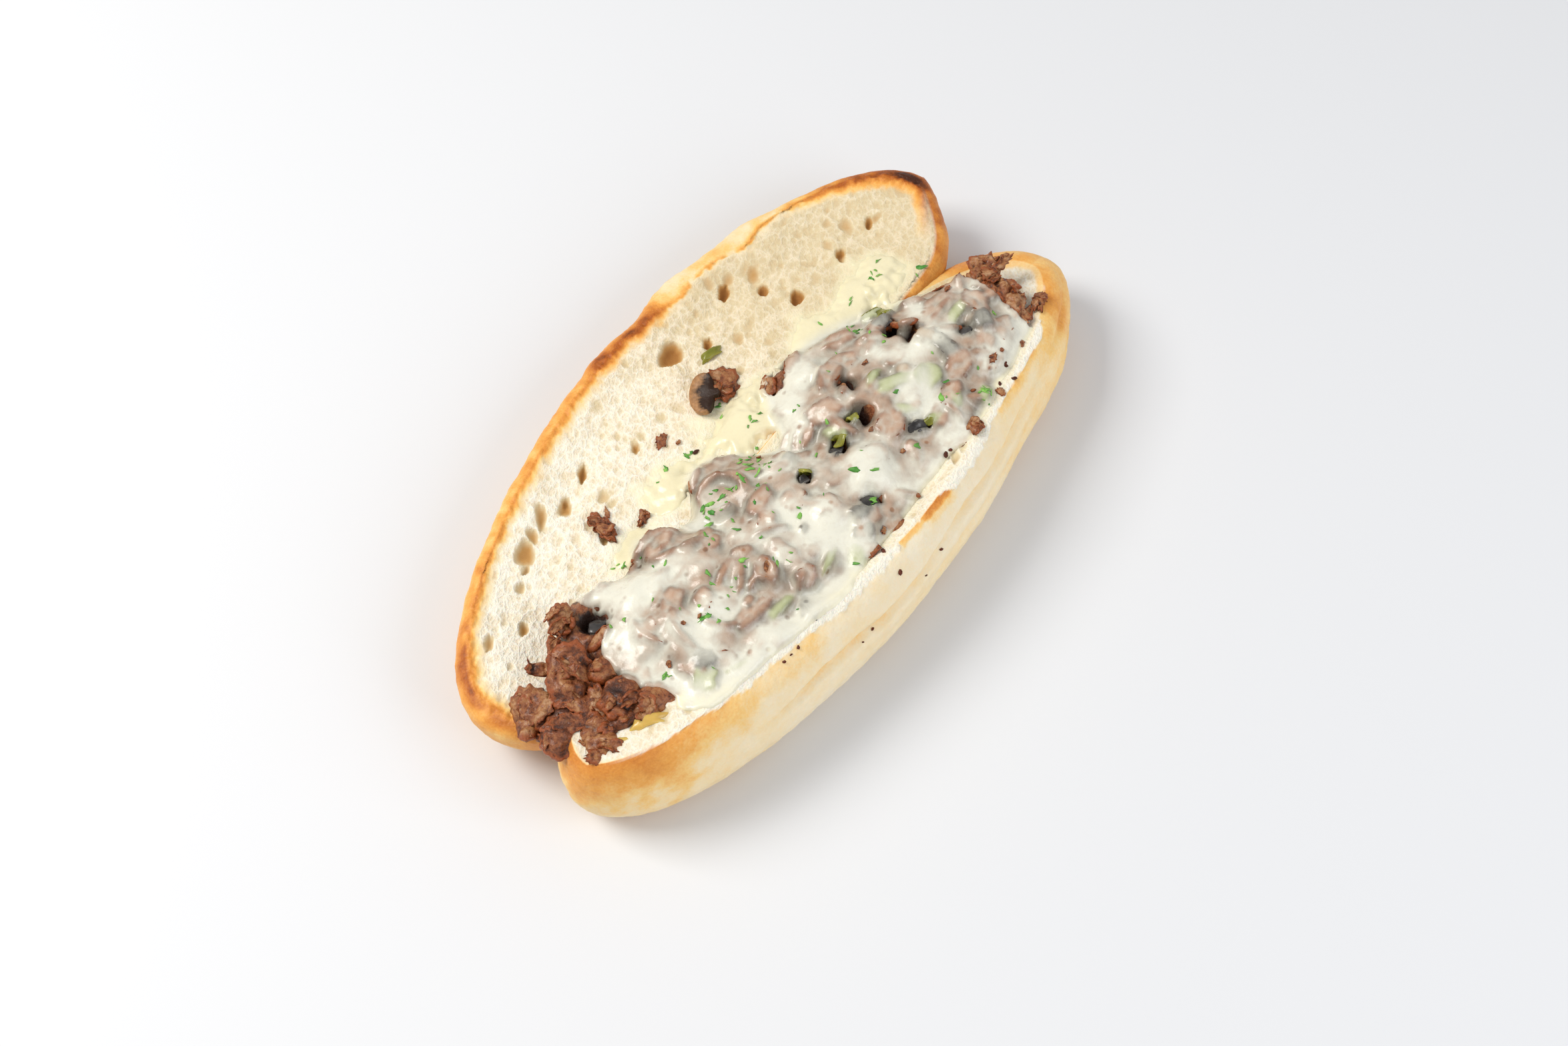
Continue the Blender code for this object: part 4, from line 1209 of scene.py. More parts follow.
@dataclass
class Roll:
    """The long white roll, split along one side and opened flat."""

    leaf: Leaf = field(
        default_factory=lambda: Leaf(
            0.5, 138.3, 57.2, 29.5, columns=460, rows=140, rings=22, tuck=23.0, small_bubbles=3400, seed=11,
            bubbles=(
                Bubble(-39.7, 49.9, 8.5, 3.4, 3.0, 34), Bubble(-54.1, 46.8, 9, 5.0, 2.6, 34),
                Bubble(-52.4, 48.4, 4, 2.6, 2.2, 34), Bubble(-62.5, 51.0, 12, 4.2, 2.4, 40),
                Bubble(-77.7, 46.5, 11, 7.5, 2.8, 30), Bubble(-82.5, 42.5, 5, 2.6, 2.2, 10),
                Bubble(-70.5, 48.6, 7, 4, 2.4, 60), Bubble(-112.8, 34.9, 7, 3.6, 2.2, 30),
                Bubble(-89.3, 39.7, 5, 3.6, 1.8, 20), Bubble(19.0, 52.9, 12, 9, 3.4, 10),
                Bubble(64.9, 27.8, 7.5, 5.4, 3.6, 34), Bubble(61.5, 40.5, 6.5, 4, 3, 34),
                Bubble(52.9, 52.5, 8, 4.5, 3.4, 30), Bubble(89.8, 24.5, 7, 4, 3, 40),
                Bubble(-101.4, 29.0, 6, 3.6, 2.6, 34), Bubble(-125.0, 11.5, 6, 3.2, 2.6, 50),
                Bubble(-57.2, 27.2, 5, 3.6, 2.4, 34), Bubble(30.9, 44.6, 6, 3.6, 2.8, 34),
                Bubble(-20.6, 40.2, 5, 3.4, 2.4, 34), Bubble(107.9, 23.6, 6, 3.4, 2.8, 34),
            ),
        )
    )
    base: Base = field(
        default_factory=lambda: Base(
            -1.2, 138.0, 31.0, 45.1, columns=380, rows=90, rings=52, tuck=15.0, small_bubbles=3000, seed=23,
            bubbles=(Bubble(30.0, -62.5, 9, 4.4, 2.6, 50), Bubble(35.5, -61.5, 5, 3, 1.8, 20)),
        )
    )

    def build(self) -> tuple[Shape, Shape]:
        """Build both halves: the leaf, then the base."""
        return self.leaf.shape(), self.base.shape()


# Filling


@dataclass(frozen=True)
class Shaving:
    """One crumpled shaving of steak, in millimetres and degrees."""

    length: float
    width: float
    thickness: float
    curl: float  # how far it bends about its length, in radians from edge to middle
    crumple: float
    cup: float = 0.0  # how far its edge stands up
    detail: int = 3
    ragged: float = 0.2
    arc: float = 0.0  # how far it bends along its length, in radians from middle to end
    depth: float = 0.6  # how dark the painted shade is in its creases and on its underside
    fine: float = 1.0  # how many creases it has for its size

    def add_to(self, bm: Shape, matrix: Matrix, seed: float, tone: float) -> None:
        """Add the shaving to a bmesh.

        Args:
            bm: Where it goes.
            matrix: Its place.
            seed: What makes it unlike the others.
            tone: How light it is, about 0.
        """
        tones, edges, creases = (float_layer(bm, name) for name in ("tone", "edge", "crease"))
        made = bmesh.ops.create_icosphere(bm, subdivisions=self.detail + 1, radius=1)["verts"]
        radius = self.width / 2 / max(abs(self.curl), 0.05)
        side = 1 if self.curl >= 0 else -1
        for vert in made:
            a, b, c = vert.co
            r = hypot(a, b)
            ca, sa = (a / r, b / r) if r > 1e-6 else (1.0, 0.0)
            out = 1 + self.ragged * (rough(ca, sa, 0, 0.7, seed) + rough(ca, sa, 0, 0.22, seed + 3)) * r
            u, w = a * out * self.length / 2, b * out * self.width / 2
            lumps, _ = crumple(u * self.fine, w * self.fine, c * 2, seed)
            rise = self.crumple * lumps + self.cup * r**3 * (0.65 + 0.6 * rough(ca, sa, 0, 0.9, seed + 11))
            rise += c * self.thickness / 2 * (0.85 + 0.4 * rough(u, w, c * 3, 4, seed + 2))
            rise += 0.16 * rough(u, w * 1.6, rise, 1.2, seed + 4)
            turn = side * w / radius
            across = (radius - side * rise) * sin(turn) * side
            up = side * radius * (1 - cos(turn)) + rise * cos(turn)
            if self.arc:
                bow = self.length / 2 / self.arc
                u, across = (bow - across) * sin(u / bow), bow - (bow - across) * cos(u / bow)
            vert.co = matrix @ Vector((u, across, up))
            # Painted light: the tone is raised on the tops of the lumps.
            vert[tones] = tone + 0.17 * lumps
            vert[edges] = smooth(0.62, 1.0, r) + 0.3 * smooth(0.2, 0.8, lumps)
            # Painted shade: the crease attribute is high in the hollows between the lumps and on the
            # shaving's underside.
            vert[creases] = self.depth * (smooth(-0.15, -0.75, lumps) + 0.6 * smooth(0.0, -0.9, c))


def place(x: float, y: float, z: float, turn: float, tilt: float = 0.0, roll: float = 0.0) -> Matrix:
    """Give the place of a piece that is turned about its own axes.

    Args:
        x, y, z: Place in millimetres.
        turn, tilt, roll: How far it is turned about its own Z, Y and X, in degrees.

    Returns:
        The place.
    """
    return (
        Matrix.Translation((x, y, z))
        @ Matrix.Rotation(radians(turn), 4, "Z")
        @ Matrix.Rotation(radians(tilt), 4, "Y")
        @ Matrix.Rotation(radians(roll), 4, "X")
    )


@dataclass
class Heap:
    """The form of the filling: how far it reaches and how high it stands."""

    # Its ends along the roll, and how high it stands at its sides and at its crest.
    low_x: float = -124.0
    high_x: float = 106.0
    side: float = 33.0
    crest: float = 47.1
    base: Base = field(default_factory=lambda: Roll().base)

    def leaf_side(self, x: float) -> float:
        """Give how far the filling reaches over the fold onto the leaf.

        Args:
            x: Place in millimetres.

        Returns:
            The place across the roll, in millimetres.
        """
        reach = 12 - 30 * smooth(40, 110, x)
        reach += 9 * bump(x, -88, 14) - 3 * bump(x, -64, 6) + 3 * bump(x, -54, 6) - 8 * bump(x, -37, 8)
        return reach + 4 * bump(x, -18, 9) - 17 * bump(x, 4, 11) + 4 * bump(x, 32, 9)

    def wall_side(self, x: float) -> float:
        """Give where the filling meets the inside of the base's wall."""
        return self.base.channel_side(x)

    def height(self, x: float, y: float) -> float:
        """Give the height of the heap's upper surface.

        Args:
            x, y: Place in millimetres.

        Returns:
            The height in millimetres.
        """
        inner, outer = self.leaf_side(x), self.wall_side(x)
        b = 2 * (y - outer) / (inner - outer) - 1
        rise = 1 - 0.5 * ((b + 0.2) / 0.8) ** 2 if b < -0.2 else 1 - ((b + 0.2) / 1.2) ** 2
        ends = 1 - 0.45 * smooth(72, 112, x) - 0.72 * smooth(82, 112, -x)
        lumps = layered(x, y, 0, (2.3, 17, 1.7), (2.3, 8.5, 4.1), (1, 5, 6.4))
        lumps *= 1 - smooth(0.8, 1.02, abs(b))
        return self.side + (self.crest - self.side) * max(rise, 0) * ends + lumps

    def spot(self, a: float, b: float) -> Point:
        """Give the place at shares a along and b across the heap, both from -1 to 1.

        Args:
            a, b: Share of the way, from -1 to 1.

        Returns:
            The place, in millimetres.
        """
        x = (self.low_x + self.high_x) / 2 + (self.high_x - self.low_x) / 2 * a
        inner, outer = self.leaf_side(x), self.wall_side(x)
        taper = sqrt(1 - 0.55 * abs(a) ** 6)
        return x, (inner + outer) / 2 + b * taper * (inner - outer) / 2


# Deep gaps between the pieces: x, y, width and depth in millimetres.
CAVITIES = (
    (24.5, -25.0, 3.5, 9), (34.0, -13.5, 3.5, 7), (65.5, -13.0, 4.5, 8), (10.0, -25.5, 3.5, 5),
    (-6.1, -22.5, 3.0, 5), (-1.0, -46.5, 3.5, 5), (33.3, -44.5, 3.5, 5), (76.5, -36.5, 3.2, 6),
    (40.5, 0.0, 3.0, 4), (-89.5, 8.0, 4.3, 9), (-103.5, -4.0, 3.0, 7), (-104.5, -12.5, 2.6, 7),
    (65.0, -21.0, 3.2, 4),
)
# Edges of curled shavings that stand up through the cheese: x, y, length, width, turn and bend.
RIDGES = (
    (-96, 17, 9, 3.2, 190, 1.2), (-82, 14.6, 6, 2.2, 3, 0.2), (-76, 13.6, 5, 3, 20, 0.3),
    (-64.5, 9.3, 9, 2.6, 33, 0.1), (-56, 11.5, 12, 3, -4, 0.2), (-59.3, 1.3, 14, 2.6, 305, 1.0),
    (-49, 9.2, 14, 2.8, 130, 1.0), (-49.5, -5.4, 8, 2.4, -38, 0.2), (-34, -1, 20, 3, 270, 1.25),
    (-24, 6.7, 12, 3, 165, 0.75), (-18, -2.4, 12, 3.6, 80, 0.75), (-24, 12, 9, 3.6, 10, -0.5),
    (-66, -2.6, 10, 3.2, -8, -0.3), (-63, -8.4, 12, 2.4, -8, 0.2), (-87, -12.5, 13, 2.8, 262, 0.4),
    (-82, -24.5, 12, 2.6, 255, 0.3), (-72, -30.5, 15, 2.6, 290, 1.0), (-64.5, -35.5, 11, 2.8, 5, 0.65),
    (-54.5, -21, 13, 3, 12, -0.35), (-52.5, -27.5, 12, 2.4, 30, 0.2), (-57.5, -34, 4, 3.4, 0, 0),
    (-52, -31.6, 6, 2, 15, 0), (-48, -35.5, 6, 2, -60, 0.2), (-61, -39.4, 15, 3.2, -8, 0.2),
    (-13.5, -5.5, 9, 2.8, -65, 0.2), (-7, -13, 7, 2.6, -35, 0), (-2, -9.4, 6, 2.6, -15, 0),
    (6.4, -6, 17, 3, 185, 1.2), (2, -16, 7, 3, 315, 0.4), (14.6, 2, 6, 3.4, 85, 0),
    (30, -5.4, 9, 2.6, 35, -0.2), (36, -8.5, 8, 2.4, 10, 0.3), (30.5, -14.8, 8, 3, 35, 0.2),
    (48, 2, 8, 2.2, -38, 0), (53.6, 2, 9, 2.4, -45, -0.3), (57, -9.6, 7, 2.6, -40, 0),
    (16.5, -23, 12, 3, 265, 0.5), (-24, -13.8, 13, 3, 5, -0.4), (-31.5, -25.4, 11, 1.8, -38, 0),
    (64, -6, 10, 2.6, -12, -0.3), (66.6, -16.3, 12, 2.8, 280, 0.8), (81, -12.6, 9, 3.2, 118, 0.3),
    (65.5, -28, 8, 2.6, -6, 0), (73.5, -32.5, 8, 2.8, -35, 0), (71, -46.5, 8, 2.8, -50, 0),
    (24, -48.5, 8, 2.4, 55, 0.2), (44.6, -52.5, 8, 2.2, 80, 0), (54.5, -54.5, 6, 2.6, -50, 0),
    (-73, -8, 9, 2.4, 20, 0.3), (-77.5, -17.5, 7, 2.6, 40, 0.4), (43, -3.5, 9, 2.2, -30, -0.2),
    (-16, -30.5, 9, 3, -60, 0.3), (9, -55, 9, 2.2, -60, 0), (88, -45, 8, 2.6, -20, 0.2),
)
# Crumpled flats of steak that show palely through thin cheese: x, y, length, width and turn.
FLATS = (
    (-44, -9, 12, 9, 35), (-24, -16, 12, 7, 8), (20, -14, 14, 9, -35), (35, -6, 15, 9, 20),
    (44, -8, 9, 8, 0), (27, -36, 12, 11, 0), (-13, -35, 12, 9, 115), (17, -22, 12, 6, 80),
    (-17, -25, 10, 9, 0), (-69, -5, 10, 6, 0), (-72, -13, 17, 8, 20), (81, -22, 18, 9, 5),
    (62, -43, 13, 9, 0), (77, -45, 11, 8, 30), (68, -48, 10, 7, -50), (53, -10, 10, 9, 0),
    (-52, -52, 9, 6, 0), (-76, -20, 9, 7, 60), (-60, -38.5, 16, 6, -8), (50, -47, 11, 7, 0),
    (24, -48, 9, 6, 70), (-8, -12, 9, 7, -40), (36, 10.5, 11, 6, 20), (24, 13, 10, 7, 25),
    (89, -33, 13, 10, 60), (86, -47, 11, 7, 0), (52, 1, 12, 8, -40), (-54, 5, 13, 9, 10),
    (-85, -12, 8, 10, 80), (-46, -33, 10, 8, 60), (9, -12, 10, 8, 0), (72, -52, 9, 5, 0),
    (41, -48, 9, 7, 30), (63, -9, 11, 6, -10), (-29, -22, 9, 7, 30), (-95, 14, 9, 7, 30),
    (-40, -45, 9, 7, 20), (93, -22, 8, 7, 50), (-77, 12.5, 9, 5, 10), (-66, -22, 9, 7, 40),
)
# Vegetables that tint the cheese from below: x, y, length, width, turn and lift.
BURIED = {
    Dress.GREY_MUSHROOM: (
        (-48, -52, 11, 7, 50, 0.2), (-13, -51, 10, 7, 40, 0.4), (-8, -47, 9, 5, -30, 0.5),
        (65, -35, 13, 6, 80, 0.4), (83, -40, 9, 6, 40, 0.2), (-38, 0, 13, 8, 70, -0.5),
        (-2, -13, 6, 4, 20, 0.7), (66, -8.5, 10, 5, -10, 0.2), (-84, -34, 9, 6, -30, -0.1),
        (-24, -34, 5, 3, 30, 0.3),
    ),
    Dress.PEPPER: (
        (42, -29, 18, 6, -28, -0.1), (52, -36, 13, 9, 25, -0.1), (36, -38, 9, 4, -60, -0.1),
        (-89, -38, 11, 8, 20, -0.2), (-53, -44, 15, 3, -8, -0.1), (-30, -48, 12, 2.6, 15, 0.0),
        (-22, -54, 13, 7, 40, -0.6), (70, -2, 10, 4, -20, 0.0), (58, -56, 8, 4, 10, -0.3),
        (40, -21, 10, 3, 5, -0.2), (13, -21, 8, 4, 100, -0.1), (82, -30, 11, 4, 0, -0.6),
        (-78, -45, 16, 2.4, -28, -0.1), (49, -50, 7, 4, 60, -0.3),
    ),
}
# Pieces that look out of the gaps: x, y, sink, length, width, turn and tilt.
SHOWN = {
    Dress.PEPPER: (
        (12.5, -25.0, 1.6, 8, 6, 80, 55), (-5.0, -21.8, 1.4, 6, 5, 60, 50), (22.4, -23.5, 1.6, 7, 4, 60, 65),
        (38.0, -47.0, 0.6, 8, 3, -30, 10), (73.0, -5.0, -0.6, 8, 5, -10, 20),
    ),
    Dress.GREY_MUSHROOM: (
        (9.0, -25.5, 3.0, 6, 5, 20, 10), (-7.5, -23.0, 2.6, 4, 3, 0, 0), (-1.5, -46.5, 1.8, 8, 7, -25, 15),
        (33.0, -44.5, 1.4, 9, 4.5, -28, 10), (76.5, -36.5, 2.0, 7, 5, 0, 10), (-89.0, 6.0, 4.2, 8, 7, 30, 20),
    ),
    Dress.MUSHROOM: ((64.5, -26.5, -0.4, 8, 5, -60, 10), (49.0, -27.5, -0.2, 6, 4, 20, 10)),
}
# Strips of onion at the low end: x, y, z, length, width, turn and tilt.
ONION_STRIPS = ((-110.7, -30.6, 41.0, 15, 4.5, -34, 4), (-118.5, -26.0, 38.5, 15, 6, -48, 4))
# Bare steak past the cheese: x, y, z, length, width, thickness, turn, tilt, roll.
LOW_END_STEAK = (
    (-111.1, 1.3, 39.5, 24, 16, 8, 34, -6, 8), (-125.5, 6.0, 34.0, 20, 16, 8, 75, 8, -10),
    (-120.2, -8.5, 37.5, 26, 15, 8, -20, 4, 0), (-129.5, -8.5, 36.5, 16, 15, 9, 10, -10, 6),
    (-123.5, -20.5, 38.0, 21, 14, 8, 55, -4, -14), (-108.9, -18.6, 41.5, 17, 16, 8, 20, 6, 10),
    (-104.5, -28.0, 40.5, 19, 13, 7, -40, 4, 16), (-105.5, 10.0, 38.5, 12, 8, 6, 60, 0, 20),
    (-103.0, -6.0, 38.5, 12, 10, 6, -10, 10, 0), (-131.0, 4.0, 32.5, 13, 9, 6, 40, 20, 0),
    (-95.5, 16.5, 37.5, 13, 9, 6, 30, 0, 30), (-113.5, -24.5, 40.0, 20, 7, 5, -32, 0, 0),
    (-113.5, 12.0, 36.0, 11, 5, 4, 130, -25, 0), (-132.0, -1.6, 31.5, 9, 3.4, 3.2, 40, 60, 0),
    (-113.0, -11.0, 36.0, 18, 15, 7, 5, 0, 0), (-100.5, -35.0, 38.5, 9, 5, 4, -30, 0, 0),
)
HIGH_END_STEAK = (
    (105.5, -28.1, 41.0, 15, 12, 7, 30, 0, 10), (112.0, -31.0, 41.5, 10, 5, 4, -20, -10, 0),
    (100.5, -36.7, 42.0, 14, 11, 7, -50, 0, 0), (100.1, -43.6, 41.0, 12, 9, 6, 20, 5, 20),
    (95.6, -48.0, 39.5, 11, 6, 5, -60, 0, 0), (97.0, -25.7, 40.0, 13, 6, 4, 150, 0, 0),
)


@dataclass
class Filling:
    """The chopped steak and vegetables, from the core out to every piece that shows."""

    heap: Heap = field(default_factory=Heap)
    sink: float = 1.6  # how far the core lies below the heap's surface
    core_grid: tuple[int, int] = (310, 104)
    core_depth: float = 7.0
    spacing: float = 9.0
    tries: int = 1500
    slice_thickness: float = 1.3
    seed: int = 29

    def core(self) -> Shape:
        """Build the closed core that the pieces lie on.

        Returns:
            The core.
        """
        bm = bmesh.new()
        tones, edges, creases = (float_layer(bm, name) for name in ("tone", "edge", "crease"))
        bmesh.ops.create_grid(bm, x_segments=self.core_grid[0], y_segments=self.core_grid[1], size=1)
        for vert in bm.verts:
            x, y = self.heap.spot(vert.co.x, vert.co.y)
            rim = smooth(0.86, 1.0, max(abs(vert.co.x), abs(vert.co.y)))
            lumps, folds = crumple(x, y, 0, 3.0)
            covered = smooth(-104, -96, x) * (1 - smooth(94, 100, x))
            z = self.heap.height(x, y) - self.sink - 2.0 * rim + 0.9 * lumps + 1.5 * folds * covered
            dip = sum(
                depth * exp(-((x - cx) ** 2 + (y - cy) ** 2) / width**2) for cx, cy, width, depth in CAVITIES
            )
            z -= dip + 4.0 * smooth(98, 106, x)
            vert.co = (x, y, z)
            vert[tones] = -0.06 + 0.14 * folds
            vert[edges] = 0.4 * smooth(0.2, 0.7, folds)
            # Painted shade: the crease attribute is high in the hollows, in the deep gaps and on the bare
            # core at the ends.
            vert[creases] = smooth(-0.1, -0.7, lumps) + 0.4 * (1 - covered) + smooth(1.0, 4.0, dip)
        made = bmesh.ops.extrude_face_region(bm, geom=list(bm.faces))["geom"]
        bmesh.ops.translate(bm, vec=(0, 0, -self.core_depth), verts=points(made))
        bmesh.ops.recalc_face_normals(bm, faces=bm.faces)
        return bm

    def buried_steak(self, ground: Ground) -> Shape:
        """Build the shavings under the cheese: the curled ones that show, and others between them.

        Args:
            ground: What it lies on.

        Returns:
            The shavings.
        """
        draw = random.Random(self.seed)
        bm = bmesh.new()
        taken: list[Point] = []
        for x, y, length, width, turn, bend in RIDGES:
            ridge = Shaving(length * 1.1, width, 3.4, 0.3, 0.5, detail=3, ragged=0.14, arc=bend)
            matrix = ground.laid(x, y, self.heap.height(x, y) - 0.3, SLOPE_REACH, turn)
            ridge.add_to(bm, matrix, draw.uniform(0, 90), 0.02)
            taken.append((x, y))
        for x, y, length, width, turn in FLATS:
            flat = Shaving(length, width, 3.0, 0.5, 1.5, 0.5, 3, 0.22)
            matrix = ground.laid(x, y, self.heap.height(x, y) - 1.5, SLOPE_REACH, turn)
            flat.add_to(bm, matrix, draw.uniform(0, 90), 0.06)
            taken.append((x, y))
        for _ in range(self.tries):
            x, y = self.heap.spot(draw.uniform(-0.84, 0.96), draw.uniform(-0.96, 0.97))
            if any((x - a) ** 2 + (y - b) ** 2 < self.spacing**2 for a, b in taken):
                continue
            if any((x - a) ** 2 + (y - b) ** 2 < (w + 3.0) ** 2 for a, b, w, _ in CAVITIES):
                continue
            taken.append((x, y))
            length = draw.uniform(7, 14)
            width = length * draw.uniform(0.4, 0.8)
            thickness, curl = draw.uniform(2.4, 3.8), draw.uniform(-0.7, 0.7)
            z = self.heap.height(x, y) - draw.uniform(0.9, 2.4)
            turns = (draw.uniform(0, 360), draw.uniform(-14, 14), draw.uniform(-14, 14))
            shaving = Shaving(length, width, thickness, curl, 1.3, 0.8, 2, 0.25)
            matrix = ground.laid(x, y, z, SLOPE_REACH, *turns)
            shaving.add_to(bm, matrix, draw.uniform(0, 90), draw.uniform(-0.12, 0.10))
        log.info("buried steak: %d shavings", len(taken))
        return bm

    def bare_steak(self, rows: Sequence[tuple[float, ...]], seed: int, tone: float, fine: float) -> Shape:
        """Build the bare steak at one end: a folded lump for each place, with torn shreds over it.

        Args:
            rows: The lumps.
            seed: What makes this end unlike the other.
            tone: How light it is, about 0.
            fine: How many creases it has for its size.

        Returns:
            The steak.
        """
        draw = random.Random(seed)
        bm = bmesh.new()
        for i, (x, y, z, length, width, thickness, turn, tilt, roll) in enumerate(rows):
            large = length > 12
            matrix = place(x, y, z, turn, tilt, roll)
            form = (length, width * 0.98, thickness * 0.8, -0.7, 1.5, 0.0, 4 if large else 3, 0.28 * fine)
            lump = Shaving(*form, depth=1.0, fine=fine)
            lump.add_to(bm, matrix, 1.3 * i + 0.7, tone + draw.uniform(-0.1, 0.1))
            for _ in range(2 if large else 1):
                a, b = draw.uniform(-0.3, 0.3) * length, draw.uniform(-0.3, 0.3) * width
                size = draw.uniform(0.4, 0.75) * length
                slim, curl, arc = draw.uniform(0.3, 0.6), draw.uniform(-1.1, 1.1), draw.uniform(0.1, 0.7)
                up = thickness * draw.uniform(0.16, 0.32)
                local = place(a, b, up, draw.uniform(0, 180), draw.gauss(0, 18), draw.gauss(0, 22))
                shred = Shaving(size, size * slim, 1.9, curl, 0.9, 0.8, 3, 0.32, arc)
                shred.add_to(bm, matrix @ local, draw.uniform(0, 90), draw.uniform(-0.1, 0.12))
            self.fringe(bm, matrix, (length, width, thickness), 3, draw)
        return bm

    @staticmethod
    def fringe(bm: Shape, matrix: Matrix, size: Triple, count: int, draw: random.Random) -> None:
        """Add torn threads of meat round a lump and on it.

        Args:
            bm: Where they go.
            matrix: The lump's place.
            size: Its length, width and thickness.
            count: How many threads.
            draw: The source of what makes them unlike each other.
        """
        for _ in range(count):
            angle, reach = draw.uniform(0, 2 * pi), sqrt(draw.uniform(0.15, 0.9))
            a, b = cos(angle) * reach * size[0] / 2, sin(angle) * reach * size[1] / 2
            up = size[2] * (0.30 - 0.30 * reach**3) + draw.uniform(-0.4, 0.3)
            turned = place(a, b, up, draw.uniform(0, 360), draw.gauss(0, 22), draw.gauss(0, 30))
            length, width, arc = draw.uniform(1.6, 4.2), draw.uniform(0.7, 1.7), draw.uniform(0.1, 0.8)
            thread = Shaving(length, width, 0.8, 0.3, 0.3, 0.3, 2, 0.5, arc)
            thread.add_to(bm, matrix @ turned, draw.uniform(0, 90), draw.uniform(-0.15, 0.15))

    @staticmethod
    def slab(bm: Shape, matrix: Matrix, length: float, width: float, thickness: float, seed: float) -> None:
        """Add one bent slice of vegetable to a bmesh.

        Args:
            bm: Where it goes.
            matrix: Its place.
            length: Its longest side.
            width: Its other side.
            thickness: Its thickness.
            seed: What makes it unlike the others.
        """
        tones = float_layer(bm, "tone")
        flat = bmesh.ops.create_grid(bm, x_segments=12, y_segments=9, size=1)["verts"]
        faces = list({face for vert in flat for face in vert.link_faces})
        made = bmesh.ops.extrude_face_region(bm, geom=faces)["geom"]
        raised = points(made)
        bmesh.ops.translate(bm, vec=(0, 0, 1), verts=raised)
        bmesh.ops.translate(bm, vec=(0, 0, -1), verts=flat)
        for vert in flat + raised:
            a, b, c = vert.co
            box = max(abs(a), abs(b), 1e-6)
            scale = (1 - 0.30 * min(abs(a), abs(b)) ** 2) * (1 + 0.45 * rough(a, b, 0, 0.8, seed) * box)
            arch = 0.16 * length * (0.4 - a * a) + 0.10 * width * sin(2.2 * b + seed)
            rounding = 1 - 0.45 * smooth(0.75, 1.0, box)
            wave = 0.3 * rough(a * length, b * width, 0, 5, seed + 4)
            up = c * thickness / 2 * rounding + arch + wave
            vert.co = matrix @ Vector((a * length / 2 * scale, b * width / 2 * scale, up))
            vert[tones] = 0.15 * rough(a, b, 0, 1, seed) + 0.25 * smooth(0.7, 1.0, box)

    def slices(self, rows: Sequence[tuple[float, ...]], ground: Ground) -> Shape:
        """Build vegetable slices of one finish.

        Args:
            rows: Each slice's x, y, z, length, width, turn and tilt.
            ground: What it lies on.

        Returns:
            The slices.
        """
        bm = bmesh.new()
        for i, (x, y, z, length, width, turn, tilt) in enumerate(rows):
            matrix = ground.laid(x, y, z, SLOPE_REACH, turn, tilt)
            self.slab(bm, matrix, length, width, self.slice_thickness, 3.3 * i + 1)
        bmesh.ops.recalc_face_normals(bm, faces=bm.faces)
        return bm

    def vegetable_rows(self, dress: Dress) -> list[tuple[float, ...]]:
        """List the slices of one finish, buried and shown.

        Args:
            dress: The finish.

        Returns:
            Each slice's x, y, z, length, width, turn and tilt.
        """
        rows = [
            (x, y, self.heap.height(x, y) + lift, length, width, turn, 0.0)
            for x, y, length, width, turn, lift in BURIED.get(dress, ())
        ]
        rows += [
            (x, y, self.heap.height(x, y) - sink, length, width, turn, tilt)
            for x, y, sink, length, width, turn, tilt in SHOWN.get(dress, ())
        ]
        return rows + list(ONION_STRIPS if dress is Dress.ONION else ())


# Cheese


@dataclass(frozen=True)
class Pool:
    """A place where the cheese lies thicker, or thinner where extra is below 0, in millimetres."""

    x: float
    y: float
    reach_x: float
    reach_y: float
    extra: float


@dataclass
class Field:
    """Numbers on an even grid of places, read between its points."""

    low: Point
    cell: float
    values: np.ndarray

    def at(self, x: float, y: float) -> float:
        """Read the field at a place.

        Args:
            x, y: Place in millimetres.

        Returns:
            The number there.
        """
        rows, columns = self.values.shape
        i = min(max((x - self.low[0]) / self.cell, 0.0), columns - 1.001)
        j = min(max((y - self.low[1]) / self.cell, 0.0), rows - 1.001)
        c, r = int(i), int(j)
        a, b = i - c, j - r
        v = self.values
        near, far = (v[k, c] * (1 - a) + v[k, c + 1] * a for k in (r, r + 1))
        return float(near * (1 - b) + far * b)

    def blurred(self, reach: float) -> "Field":
        """Give the field averaged over about reach millimetres.

        Args:
            reach: How far to each side, in millimetres.

        Returns:
            The averaged field.
        """
        spread = reach / self.cell
        steps = int(3 * spread) + 1
        weights = np.exp(-0.5 * (np.arange(-steps, steps + 1) / spread) ** 2)
        weights /= weights.sum()
        padded = np.pad(self.values, steps, mode="edge")
        along = np.apply_along_axis(lambda row: np.convolve(row, weights, mode="valid"), 1, padded)
        both = np.apply_along_axis(lambda column: np.convolve(column, weights, mode="valid"), 0, along)
        return Field(self.low, self.cell, both)

    def raised(self) -> "Field":
        """Give the field with each number raised to the highest beside it.

        Returns:
            The raised field.
        """
        padded = np.pad(self.values, 1, mode="edge")
        rows, columns = self.values.shape
        beside = [padded[i : i + rows, j : j + columns] for i in range(3) for j in range(3)]
        return Field(self.low, self.cell, np.maximum.reduce(beside))

    def like(self, values: np.ndarray) -> "Field":
        """Give a field on the same grid with other numbers."""
        return Field(self.low, self.cell, values)


